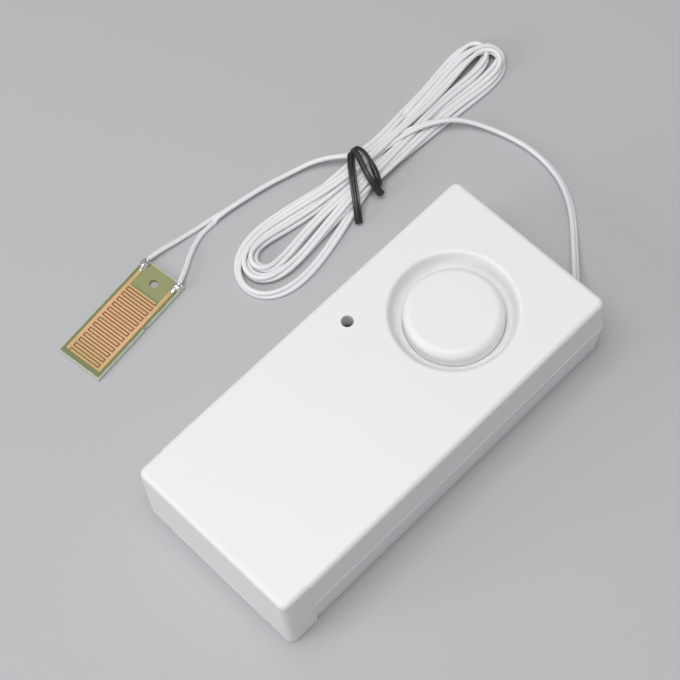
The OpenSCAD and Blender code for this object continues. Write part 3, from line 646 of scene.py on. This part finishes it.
def near_pairs(points, owner, reach, apart):
    """Pairs of points nearer than reach whose places along the cord are more than apart steps away."""
    cells = {}
    for index, cell in enumerate(map(tuple, np.floor(points / reach).astype(int))):
        cells.setdefault(cell, []).append(index)
    around = [(a, b, c) for a in (-1, 0, 1) for b in (-1, 0, 1) for c in (-1, 0, 1) if (a, b, c) >= (0, 0, 0)]
    found = []
    for cell, members in cells.items():
        for step in around:
            others = cells.get((cell[0] + step[0], cell[1] + step[1], cell[2] + step[2]))
            if others:
                both = np.stack([np.repeat(members, len(others)), np.tile(others, len(members))], 1)
                found.append(both[both[:, 0] < both[:, 1]] if step == (0, 0, 0) else both)
    pairs = np.vstack(found)
    pairs = pairs[np.abs(owner[pairs[:, 0]] - owner[pairs[:, 1]]) > apart]
    gap = np.linalg.norm(points[pairs[:, 0]] - points[pairs[:, 1]], axis=1)
    return pairs[gap < reach]


def hold_length(p, first, second, goal, free, share):
    """Moves two sets of points of the chains towards or from each other until they are goal apart."""
    gap = p[second] - p[first]
    far = np.linalg.norm(gap, axis=1)
    fix = gap * ((far - goal) / np.maximum(far, 1e-6) * share)[:, None]
    p[first] += fix * free[first[0]][:, None]
    p[second] -= fix * free[second[0]][:, None]


def push_apart(p, pairs, free):
    """Moves points of different passes apart where their wires would lie in each other."""
    flat = p.reshape(-1, 3)
    gap = flat[pairs[:, 1]] - flat[pairs[:, 0]]
    far = np.linalg.norm(gap, axis=1)
    move = gap / np.maximum(far, 1e-6)[:, None] * (np.maximum(WIRE_D - far, 0) * PUSH_SHARE)[:, None]
    push = np.zeros_like(flat)
    np.add.at(push, pairs[:, 0], -move)
    np.add.at(push, pairs[:, 1], move)
    size = np.linalg.norm(push, axis=1)
    push *= np.minimum(1, PUSH_MOST / np.maximum(size, 1e-9))[:, None]
    p += push.reshape(p.shape) * free[:, None, None]


def draw_in(p, free):
    """Keeps the passes inside the tie's ring, and everything above the surface that it lies on."""
    off = p - np.array(TIE)
    from_ring = np.abs(off[..., 0] - TIE_LEAN * off[..., 1])
    hold = np.clip(HOLD_TOP - from_ring / HOLD_FADE, 0, 1) * free[:, None]
    room = np.array(TIE_HALF) - WIRE_D / 2
    out = ((off[..., 1:] / room) ** 4).sum(-1) ** 0.25
    scale = 1 / np.maximum(out, 1)
    p[..., 1:] += off[..., 1:] * ((scale - 1) * hold)[..., None]
    p[..., 2] = np.maximum(p[..., 2], LAY_Z)


def stiffen(p, free, bend=0.3):
    """Straightens the chains a little, over short, middle and longer stretches."""
    for reach in (1, 2, 4):
        curl = p[:-2 * reach] - 2 * p[reach:-reach] + p[2 * reach:]
        push = np.zeros_like(p)
        push[reach:-reach] += curl / 2
        push[:-2 * reach] -= curl / 4
        push[2 * reach:] -= curl / 4
        p += bend / reach * push * free[:, None, None]


def keep_open(p, free):
    """Moves points some steps from each other apart where the cord would bend tighter than its fold."""
    goal = 2 * FOLD_R * math.sin(OPEN_STEPS / 2 * CHAIN_STEP / FOLD_R)
    gap = p[OPEN_STEPS:] - p[:-OPEN_STEPS]
    far = np.linalg.norm(gap, axis=-1, keepdims=True)
    move = gap / np.maximum(far, 1e-6) * np.maximum(goal - far, 0) * OPEN_SHARE
    p[OPEN_STEPS:] += move * free[OPEN_STEPS:, None, None]
    p[:-OPEN_STEPS] -= move * free[:-OPEN_STEPS, None, None]


def settle(p, weight=0.004, memory=0.018):
    """Lets the two joined chains of points sink, stiffen and push each other apart, drawn in by the tie."""
    count = len(p)
    start = p.copy()
    free = np.ones(count)
    free[:np.argmax(p[:, 0, 1] > LEAD_FIXED_Y)] = 0
    free[count - np.argmax(p[::-1, 0, 0] > TAIL_FIXED_X):] = 0
    free *= np.convolve(np.pad(free, 6, mode="edge"), np.ones(13) / 13, "valid")
    owner = np.repeat(np.arange(count), 2)
    diagonal = math.hypot(CHAIN_STEP, WIRE_PITCH)
    links = (
        (0, 0, CHAIN_STEP, 0.5), (1, 1, CHAIN_STEP, 0.5), (0, 1, diagonal, 0.25), (1, 0, diagonal, 0.25),
    )
    pairs = None
    for r in range(SETTLE_ROUNDS):
        p[..., 2] -= weight * free[:, None]
        p += memory * free[:, None, None] * (start - p)
        stiffen(p, free)
        if r % 8 == 0:
            pairs = near_pairs(p.reshape(-1, 3), owner, WIRE_D + 0.7, 4)
        for _ in range(2):
            keep_open(p, free)
            push_apart(p, pairs, free)
            draw_in(p, free)
            for parity in (0, 1):
                i = np.arange(parity, count - 1, 2)
                for a, b, goal, share in links:
                    ends = (i, np.full_like(i, a)), (i + 1, np.full_like(i, b))
                    hold_length(p, *ends, goal, free, share)
            i = np.arange(count)
            hold_length(p, (i, np.zeros_like(i)), (i, np.ones_like(i)), WIRE_PITCH, free, 0.5)
    return p


def eased(p):
    """The chains with each point drawn towards its neighbours, so that no corner is left. The ends stay."""
    soft = p.copy()
    soft[2:-2] = sum(w * p[k:len(p) - 4 + k] for k, w in enumerate(EASE_WEIGHTS))
    return soft


def laid_cord():
    """The middles of the cord's two wires along its whole length, settled."""
    guide = cord_guide()
    middle = guide[:, :3]
    tilt = np.radians(90) * np.clip(guide[:, 3], 0, 1)[:, None]
    along = unit(np.gradient(middle, axis=0))
    side = unit(np.cross([0.0, 0.0, 1.0], along))
    width = np.cos(tilt) * side + np.sin(tilt) * np.cross(along, side)
    chains = np.stack([middle + width * WIRE_PITCH / 2, middle - width * WIRE_PITCH / 2], 1)
    return eased(settle(chains))


def probe_point(along, across, z):
    """A point given along and across the probe, in the frame of the case."""
    turn = math.radians(PROBE_TURN)
    x = PROBE_AT[0] + along * math.cos(turn) - across * math.sin(turn)
    y = PROBE_AT[1] + along * math.sin(turn) + across * math.cos(turn)
    return x, y, z


def probe_wire_routes():
    """The two wires from where they part to the probe's corner pads."""
    left = [
        (SPLIT[0], SPLIT[1] + PART_Y, LAY_Z), (SPLIT[0] - 1.5, SPLIT[1] + PART_Y + 0.2, LAY_Z),
        (7.2, 73.9, LAY_Z), (4.1, 74.4, 0.8), (0.2, 75, 1.1), (-3.7, 75.6, 1.6),
        probe_point(WIRE_ENDS[0], PAD[1], WIRE_Z),
    ]
    right = [
        (SPLIT[0], SPLIT[1] - PART_Y, LAY_Z), (SPLIT[0] - 1.5, SPLIT[1] - PART_Y + 0.1, LAY_Z),
        (6.7, 71.8, LAY_Z), (3.3, 70.7, 0.8), (-0.1, 69, 1.1), (-3.1, 67.1, 1.6),
        probe_point(WIRE_ENDS[1], -PAD[1], WIRE_Z),
    ]
    return {"left": left, "right": right}


# Settings


class LeakCaseLooks(bpy.types.PropertyGroup):
    """Looks of the case and the siren."""

    colour: FloatVectorProperty(
        name="Case colour", description="Colour of the moulded case", subtype="COLOR", size=3, min=0, max=1,
        default=(0.84, 0.84, 0.845))
    edge: FloatProperty(
        name="Edge rounding", description="Rounding of the moulded edges", unit="LENGTH", default=0.00013)


class LeakCordLooks(bpy.types.PropertyGroup):
    """Looks of the cord and its tie."""

    colour: FloatVectorProperty(
        name="Cord colour", description="Colour of the vinyl jacket", subtype="COLOR", size=3, min=0, max=1,
        default=(0.85, 0.85, 0.862))
    tie_colour: FloatVectorProperty(
        name="Tie colour", description="Colour of the tie's coating", subtype="COLOR", size=3, min=0, max=1,
        default=(0.012, 0.012, 0.014))
    tie_width: FloatProperty(
        name="Tie width", description="Width of the tie's strip", unit="LENGTH", default=0.0018)


class LeakProbeLooks(bpy.types.PropertyGroup):
    """Looks of the probe."""

    laminate: FloatVectorProperty(
        name="Laminate colour", description="Colour of the glass-fibre board", subtype="COLOR", size=3,
        min=0, max=1, default=(0.185, 0.2, 0.085))
    # Painted light: the paler colour painted round the board's hole.
    lit: FloatVectorProperty(
        name="Lit laminate colour", description="Colour of the board round its hole", subtype="COLOR", size=3,
        min=0, max=1, default=(0.33, 0.345, 0.15))
    rim: FloatVectorProperty(
        name="Rim colour", description="Colour of the board's sawn edges", subtype="COLOR", size=3,
        min=0, max=1, default=(0.55, 0.585, 0.49))
    # The brown between the fingers: flux, and painted shadow.
    stain: FloatVectorProperty(
        name="Gap colour", description="Colour of the board between the fingers", subtype="COLOR", size=3,
        min=0, max=1, default=(0.23, 0.085, 0.03))
    copper: FloatVectorProperty(
        name="Copper colour", description="Colour of the comb tracks", subtype="COLOR", size=3, min=0, max=1,
        default=(0.77, 0.46, 0.25))
    tanned: FloatVectorProperty(
        name="Tanned copper colour", description="Colour of the tracks near the probe's ends",
        subtype="COLOR", size=3, min=0, max=1, default=(0.64, 0.44, 0.19))
    fingers: IntProperty(name="Fingers", description="Fingers of each comb", default=13, min=2, max=20)
    finger_width: FloatProperty(
        name="Finger width", description="Width of each finger", unit="LENGTH", default=0.00055)
    finger_gap: FloatProperty(
        name="Finger gap", description="Gap between the two combs' fingers", unit="LENGTH", default=0.00037)


class LeakStageLooks(bpy.types.PropertyGroup):
    """Floor and light of the studio."""

    floor: FloatVectorProperty(
        name="Floor colour", description="Colour of the pale floor", subtype="COLOR", size=3, min=0, max=1,
        default=(0.5, 0.505, 0.515))
    key_power: FloatProperty(name="Key light", description="Power of the large lamp above", default=3.9)
    sky: FloatProperty(name="Surrounding light", description="Strength of the plain sky", default=0.34)


# Operators


class LEAK_OT_stage(bpy.types.Operator):
    """Makes the floor, the lamps, the sky and the camera"""

    bl_idname = "leak.stage"
    bl_label = "Stage"

    def execute(self, context):
        looks = context.scene.leak_stage
        self.camera(context.scene)
        mesh = bpy.data.meshes.new("floor")
        corners = [(x * FLOOR_HALF, y * FLOOR_HALF, 0) for x, y in ((-1, -1), (1, -1), (1, 1), (-1, 1))]
        mesh.from_pydata(corners, [], [(0, 1, 2, 3)])
        mesh.materials.append(floor_finish(looks.floor))
        floor = bpy.data.objects.new("floor", mesh)
        context.scene.collection.objects.link(floor)
        self.lamp(context, "key", KEY_AT, KEY_SIZE, looks.key_power)
        self.lamp(context, "side", SIDE_AT, SIDE_SIZE, looks.key_power * SIDE_SHARE)
        sky = bpy.data.worlds.new("studio")
        context.scene.world = sky
        sky.use_nodes = True
        light = sky.node_tree.nodes["Background"]
        light.inputs["Color"].default_value = SKY_COLOUR
        light.inputs["Strength"].default_value = looks.sky
        context.scene.view_settings.view_transform = "Standard"
        return {"FINISHED"}

    def lamp(self, context, name, place, size, power):
        data = bpy.data.lights.new(name, "AREA")
        data.shape = "DISK"
        data.size = size
        data.energy = power
        lamp = bpy.data.objects.new(name, data)
        lamp.location = place
        lamp.rotation_mode = "QUATERNION"
        aim = Vector(LAMP_AIM) - Vector(place)
        lamp.rotation_quaternion = aim.to_track_quat("-Z", "Y")
        context.scene.collection.objects.link(lamp)

    def camera(self, scene):
        turn = math.radians(VIEW_AZIMUTH)
        rise = math.radians(VIEW_ELEVATION)
        roll = math.radians(VIEW_ROLL)
        back = Vector((math.sin(turn) * math.cos(rise), -math.cos(turn) * math.cos(rise), math.sin(rise)))
        level = Vector((math.cos(turn), math.sin(turn), 0.0))
        upright = back.cross(level)
        right = math.cos(roll) * level + math.sin(roll) * upright
        up = back.cross(right)
        data = bpy.data.cameras.new("photo_view")
        data.sensor_width = SENSOR
        data.lens = VIEW_FOCUS / FRAME_PIXELS * SENSOR
        data.clip_start = 0.05
        camera = bpy.data.objects.new("photo_view", data)
        place = (Vector(VIEW_TARGET) + back * VIEW_DISTANCE) * MM
        axes = Matrix((right, up, back)).transposed().to_4x4()
        camera.matrix_world = Matrix.Translation(place) @ axes
        scene.collection.objects.link(camera)
        scene.camera = camera


class LEAK_OT_cord(bpy.types.Operator):
    """Makes the twin cord with its hank, and the two wires that it parts into"""

    bl_idname = "leak.cord"
    bl_label = "Cord and probe wires"

    def execute(self, context):
        jacket = jacket_finish(context.scene.leak_cord.colour)
        chains = laid_cord()
        fine = curve_through(np.hstack([chains.mean(1), chains[:, 0] - chains[:, 1]]), CHAIN_STEP / 2)
        middle = fine[:, :3]
        mesh = sweep("twin_cord", middle, fine[:, 3:], *twin_outline())
        cord = piece("twin_cord", mesh, jacket, ("cord_lead", "cord_hank", "cord_tail"))
        for side, route in probe_wire_routes().items():
            points = curve_through(route, 0.5)
            across = np.cross(np.gradient(points, axis=0), [0.0, 0.0, 1.0])
            tube = sweep("probe_wire_" + side + "_jacket", points, across, *round_outline(WIRE_D / 2, 16))
            piece(tube.name, tube, jacket, ("probe_wire_" + side,))
        return {"FINISHED"}


class LEAK_OT_tie(bpy.types.Operator):
    """Makes the coated wire tie round the hank"""

    bl_idname = "leak.tie"
    bl_label = "Hank tie"

    def execute(self, context):
        looks = context.scene.leak_cord
        places = range(len(TIE_ROUTE))
        ring = [1.0 if TIE_RING[0] <= k <= TIE_RING[1] else 0.0 for k in places]
        rolled = [math.radians(TIE_ROLL) * min(max(k - TIE_RING[1], 0) / 2, 1) for k in places]
        fine = curve_through(np.c_[TIE_ROUTE, ring, rolled], 0.4)
        points = fine[:, :3]
        roll = fine[:, 4:]
        along = unit(np.gradient(points, axis=0))
        flat = unit(np.cross(along, self.outward(points, fine[:, 3:4])))
        across = np.cos(roll) * flat + np.sin(roll) * np.cross(along, flat)
        mesh = sweep("hank_tie", points, across, *self.outline(looks.tie_width / MM))
        piece("hank_tie", mesh, tie_finish(looks.tie_colour), ("twist_tie",))
        return {"FINISHED"}

    def outward(self, points, ring):
        """Away from the middle of the hank where the strip goes round it, and upwards at its two ends."""
        away = points - np.array(TIE)
        away[:, 0] *= 0.1
        return unit(ring * unit(away) + (1 - ring) * np.array([0.0, 0.0, 1.0]))

    def outline(self, width):
        """A round wire core with a thin flange on each side."""
        core = width * 0.29
        flange = width * 0.1
        rise = math.asin(flange / core)
        points = []
        for middle, side in ((math.pi / 2, 1), (-math.pi / 2, -1)):
            reach = math.pi / 2 - rise
            for j in range(6):
                turn = middle - reach + 2 * reach * j / 5
                points.append((core * math.cos(turn), core * math.sin(turn)))
            edge = -side * width / 2
            points += [(edge, side * flange), (edge - side * flange * 0.7, 0.0), (edge, -side * flange)]
        return np.array(points), np.arange(len(points)) / len(points)


class LEAK_OT_case(bpy.types.Operator):
    """Dresses the two shells, the battery door and the siren's dome and cup"""

    bl_idname = "leak.case"
    bl_label = "Case"

    def execute(self, context):
        looks = context.scene.leak_case
        plastic = moulded("case_plastic", tuple(looks.colour), vary=0.008, Specular_IOR_Level=0.4)
        for node, (share, body) in MOULDINGS.items():
            dressed_copy(node, node + "_skin", plastic, looks.edge * share, body)
        return {"FINISHED"}


class LEAK_OT_probe(bpy.types.Operator):
    """Makes the probe board with its nick, the comb tracks and the solder joints"""

    bl_idname = "leak.probe"
    bl_label = "Probe"

    def execute(self, context):
        looks = context.scene.leak_probe
        comb_end = COMB_START * MM - (2 * looks.fingers - 1) * (looks.finger_width + looks.finger_gap)
        self.board(laminate_finish(looks.laminate, looks.lit, looks.rim, looks.stain, comb_end))
        copper = copper_finish(looks.copper, looks.tanned)
        tree = self.comb_tree()
        for side, first in ((1, 0.0), (-1, 0.5)):
            self.comb(looks, tree, copper, side, first)
        self.solder(solder_finish())
        return {"FINISHED"}

    def board(self, material):
        holder = work_object("probe_laminate", merged("probe_board", "probe_laminate"))
        cutter = self.nick_cutter()
        cut = holder.modifiers.new("Nick", "BOOLEAN")
        cut.operation = "DIFFERENCE"
        cut.solver = "EXACT"
        cut.object = cutter
        bevel = holder.modifiers.new("Edges", "BEVEL")
        bevel.width = 0.00006
        bevel.segments = 1
        bevel.limit_method = "ANGLE"
        done = baked(holder)
        bpy.data.objects.remove(cutter)
        smooth(done, 30.0)
        piece("probe_laminate", done, material, ("probe_board",))

    def nick_cutter(self):
        """A small wedge at the near long edge, where the board was snapped off its neighbour."""
        corners = [(-0.5, 0.28), (0.35, 0.22), (0.9, -1.0), (-1.1, -1.0)]
        verts = []
        for z in (-1.0, PROBE_T + 1.0):
            for u, v in corners:
                verts.append(tuple(c * MM for c in probe_point(NICK_X + u, v - PROBE_W / 2, z)))
        faces = [(0, 1, 2, 3), (7, 6, 5, 4), (4, 5, 1, 0), (5, 6, 2, 1), (6, 7, 3, 2), (7, 4, 0, 3)]
        mesh = bpy.data.meshes.new("nick_cutter")
        mesh.from_pydata(verts, [], faces)
        cutter = bpy.data.objects.new("nick_cutter", mesh)
        bpy.context.scene.collection.objects.link(cutter)
        return cutter

    def comb_tree(self):
        """Geometry nodes for one comb: a row of fingers off a bus, with a pad at the wired end."""
        tree = bpy.data.node_groups.new("comb_track", "GeometryNodeTree")
        tree.interface.new_socket("Geometry", in_out="OUTPUT", socket_type="NodeSocketGeometry")
        tree.interface.new_socket("Fingers", in_out="INPUT", socket_type="NodeSocketInt")
        vectors = (
            "Finger Size", "First Finger", "Finger Step", "Bus Size", "Bus Place", "Pad Size", "Pad Place",
            "Probe Place", "Probe Turn",
        )
        for name in vectors:
            tree.interface.new_socket(name, in_out="INPUT", socket_type="NodeSocketVector")
        tree.interface.new_socket("Material", in_out="INPUT", socket_type="NodeSocketMaterial")
        given = tree.nodes.new("NodeGroupInput")
        made = tree.nodes.new("NodeGroupOutput")

        def add(kind, links):
            node = tree.nodes.new(kind)
            for key, source in links.items():
                tree.links.new(source, node.inputs[key])
            return node

        row = add("GeometryNodeMeshLine", {
            "Count": given.outputs["Fingers"], "Start Location": given.outputs["First Finger"],
            "Offset": given.outputs["Finger Step"]})
        finger = add("GeometryNodeMeshCube", {"Size": given.outputs["Finger Size"]})
        fingers = add("GeometryNodeInstanceOnPoints", {
            "Points": row.outputs[0], "Instance": finger.outputs[0]})
        join = tree.nodes.new("GeometryNodeJoinGeometry")
        tree.links.new(fingers.outputs[0], join.inputs[0])
        for part in ("Bus", "Pad"):
            block = add("GeometryNodeMeshCube", {"Size": given.outputs[part + " Size"]})
            moved = add("GeometryNodeTransform", {
                "Geometry": block.outputs[0], "Translation": given.outputs[part + " Place"]})
            tree.links.new(moved.outputs[0], join.inputs[0])
        laid = add("GeometryNodeTransform", {
            "Geometry": join.outputs[0], "Translation": given.outputs["Probe Place"],
            "Rotation": given.outputs["Probe Turn"]})
        real = add("GeometryNodeRealizeInstances", {"Geometry": laid.outputs[0]})
        painted = add("GeometryNodeSetMaterial", {
            "Geometry": real.outputs[0], "Material": given.outputs["Material"]})
        tree.links.new(painted.outputs[0], made.inputs[0])
        return tree

    def comb(self, looks, tree, copper, side, first):
        name = "left" if side > 0 else "right"
        width = looks.finger_width / MM
        pitch = 2 * (width + looks.finger_gap / MM)
        end = COMB_START - (looks.fingers - 0.5) * pitch - width
        length = 2 * BUS_Y - BUS_W / 2 - looks.finger_gap / MM
        values = {
            "Fingers": looks.fingers,
            "Finger Size": (width, length, TRACK_T),
            "First Finger": (COMB_START - width / 2 - first * pitch, side * (BUS_Y - length / 2), 0.0),
            "Finger Step": (-pitch, 0.0, 0.0),
            "Bus Size": (PAD[0] - end, BUS_W, TRACK_T * 1.02),
            "Bus Place": ((PAD[0] + end) / 2, side * BUS_Y, 0.0),
            "Pad Size": (PAD_SIZE[0], PAD_SIZE[1], TRACK_T * 1.01),
            "Pad Place": (PAD[0], side * PAD[1], 0.0),
            "Probe Place": (PROBE_AT[0], PROBE_AT[1], PROBE_T + TRACK_T / 2),
        }
        values = {key: v if key == "Fingers" else tuple(c * MM for c in v) for key, v in values.items()}
        values["Probe Turn"] = (0.0, 0.0, math.radians(PROBE_TURN))
        values["Material"] = copper
        holder = work_object("comb_" + name, bpy.data.meshes.new("comb_" + name))
        nodes = holder.modifiers.new("Comb", "NODES")
        nodes.node_group = tree
        for item in tree.interface.items_tree:
            if item.name in values:
                nodes[item.identifier] = values[item.name]
        piece("comb_" + name, baked(holder), copper, ("probe_track_" + name,))

    def solder(self, material):
        """Lumpy beads run together on each corner pad, with the wire's tinned strands running into them."""
        bead = bmesh.new()
        for side in (1, -1):
            for lump in SOLDER_LUMPS:
                self.lump(bead, side, *lump)
            for k in range(STRANDS):
                turn = 2 * math.pi * k / STRANDS
                self.strand(bead, side, (STRAND_RING * math.cos(turn), STRAND_RING * math.sin(turn)))
        bmesh.ops.recalc_face_normals(bead, faces=bead.faces)
        mesh = bpy.data.meshes.new("solder_joints")
        bead.to_mesh(mesh)
        bead.free()
        smooth(mesh, 60.0)
        piece("solder_joints", mesh, material, ("probe_solder",))

    def lump(self, bead, side, u, v, half_l, half_w, height):
        """One uneven bead, flat underneath, that stays on the board."""
        ball = bmesh.ops.create_icosphere(bead, subdivisions=4, radius=1.0)["verts"]
        for vert in ball:
            spot = vert.co + Vector((side * 3.0 + u, 0.0, 0.0))
            uneven = 1.0 + 0.2 * noise.noise(spot * 1.9) + 0.09 * noise.noise(spot * 5.3)
            along = min(u + vert.co.x * half_l * uneven, PROBE_L / 2 - 0.12)
            across = min(v + vert.co.y * half_w * uneven, PROBE_W / 2 - 0.12)
            z = PROBE_T + TRACK_T / 2 + max(0.0, vert.co.z) * height * uneven
            vert.co = Vector(probe_point(along, side * across, z)) * MM

    def strand(self, bead, side, offset):
        end = WIRE_ENDS[0 if side > 0 else 1] + 0.4
        spot = (PAD[0] - 0.6, side * PAD[1] + offset[0] * 0.6, STRAND_Z + offset[1] * 0.4)
        start = Vector(probe_point(*spot)) * MM
        stop = Vector(probe_point(end, side * PAD[1] + offset[0], WIRE_Z + offset[1])) * MM
        made = bmesh.ops.create_cone(
            bead, cap_ends=True, segments=8, radius1=STRAND_R * MM, radius2=STRAND_R * MM,
            depth=(stop - start).length)["verts"]
        spin = (stop - start).to_track_quat("Z", "Y").to_matrix().to_4x4()
        bmesh.ops.transform(bead, matrix=Matrix.Translation((start + stop) / 2) @ spin, verts=made)


class LEAK_OT_inside(bpy.types.Operator):
    """Finishes the battery, the board and what stands on it, the siren's disc, the lamp and the screws"""

    bl_idname = "leak.inside"
    bl_label = "Inside"

    def execute(self, context):
        steel = metal("plated_steel", (0.72, 0.73, 0.75), rough=0.28)
        vinyl = moulded("black_vinyl", (0.03, 0.03, 0.032), rough=0.5)
        red = moulded("red_vinyl", (0.5, 0.03, 0.025), rough=0.45)
        epoxy = moulded("black_epoxy", (0.028, 0.028, 0.03), rough=0.55, depth=0.00002)
        finishes = {
            "case_screws": steel, "led_legs": steel, "board_screws": steel, "chip_legs": steel,
            "battery_positive_stud": steel, "battery_negative_stud": steel, "snap_contacts": steel,
            "piezo_plate": metal("plate_brass", (0.78, 0.58, 0.25), rough=0.32, brushed=(9, 1, 1)),
            "piezo_ceramic": moulded("piezo_ceramic", (0.66, 0.65, 0.6), rough=0.55),
            "piezo_leads": red, "battery_lead_red": red,
            "battery_lead_black": vinyl, "snap_plate": vinyl, "cord_stop": vinyl,
            "led_body": moulded(
                "lamp_lens", (0.035, 0.014, 0.013), rough=0.2, depth=0.000003, Coat_Weight=0.1),
            "main_board": board_finish((0.03, 0.16, 0.06)),
            "control_chip": epoxy, "drive_transistor": epoxy,
            "boost_coil": banded_finish("coil_ferrite", (0.07, 0.06, 0.055), (0.45, 0.2, 0.08), 0.0005),
            "filter_capacitor": banded_finish(
                "capacitor_sleeve", (0.02, 0.02, 0.07), (0.3, 0.32, 0.36), 0.0052, "Y"),
            "resistors": banded_finish("resistor_coat", (0.62, 0.48, 0.28), (0.18, 0.07, 0.03), 0.0016, "Y"),
            "battery_cell": banded_finish(
                "battery_jacket", (0.025, 0.026, 0.03), (0.25, 0.21, 0.13), 0.09, "X"),
            "battery_pad": foam_finish((0.05, 0.05, 0.055)),
            "cord_inner": moulded("inner_jacket", tuple(context.scene.leak_cord.colour), rough=0.4),
        }
        for node, material in finishes.items():
            mesh = NODES[node].data
            mesh.materials.clear()
            mesh.materials.append(material)
        return {"FINISHED"}


class LEAK_PT_parts(bpy.types.Panel):
    """Lists the pieces and their settings"""

    bl_idname = "LEAK_PT_parts"
    bl_label = "Leak Alarm"
    bl_space_type = "VIEW_3D"
    bl_region_type = "UI"
    bl_category = "Leak Alarm"

    def draw(self, context):
        for operator, group in PARTS:
            box = self.layout.box()
            box.operator(operator.bl_idname)
            if group:
                looks = getattr(context.scene, group)
                for name in looks.bl_rna.properties.keys():
                    if name not in ("rna_type", "name"):
                        box.prop(looks, name)


PARTS = [
    (LEAK_OT_stage, "leak_stage"), (LEAK_OT_cord, "leak_cord"), (LEAK_OT_tie, None),
    (LEAK_OT_case, "leak_case"), (LEAK_OT_probe, "leak_probe"), (LEAK_OT_inside, None),
]
GROUPS = {
    "leak_stage": LeakStageLooks, "leak_cord": LeakCordLooks, "leak_case": LeakCaseLooks,
    "leak_probe": LeakProbeLooks,
}


def register():
    for name, group in GROUPS.items():
        bpy.utils.register_class(group)
        setattr(bpy.types.Scene, name, PointerProperty(type=group))
    for operator, _ in PARTS:
        bpy.utils.register_class(operator)
    bpy.utils.register_class(LEAK_PT_parts)


def unregister():
    bpy.utils.unregister_class(LEAK_PT_parts)
    for operator, _ in PARTS:
        bpy.utils.unregister_class(operator)
    for name, group in GROUPS.items():
        delattr(bpy.types.Scene, name)
        bpy.utils.unregister_class(group)


def main():
    register()
    bpy.ops.leak.stage()
    bpy.ops.leak.cord()
    bpy.ops.leak.tie()
    bpy.ops.leak.case()
    bpy.ops.leak.probe()
    bpy.ops.leak.inside()


if __name__ == "__main__":
    main()
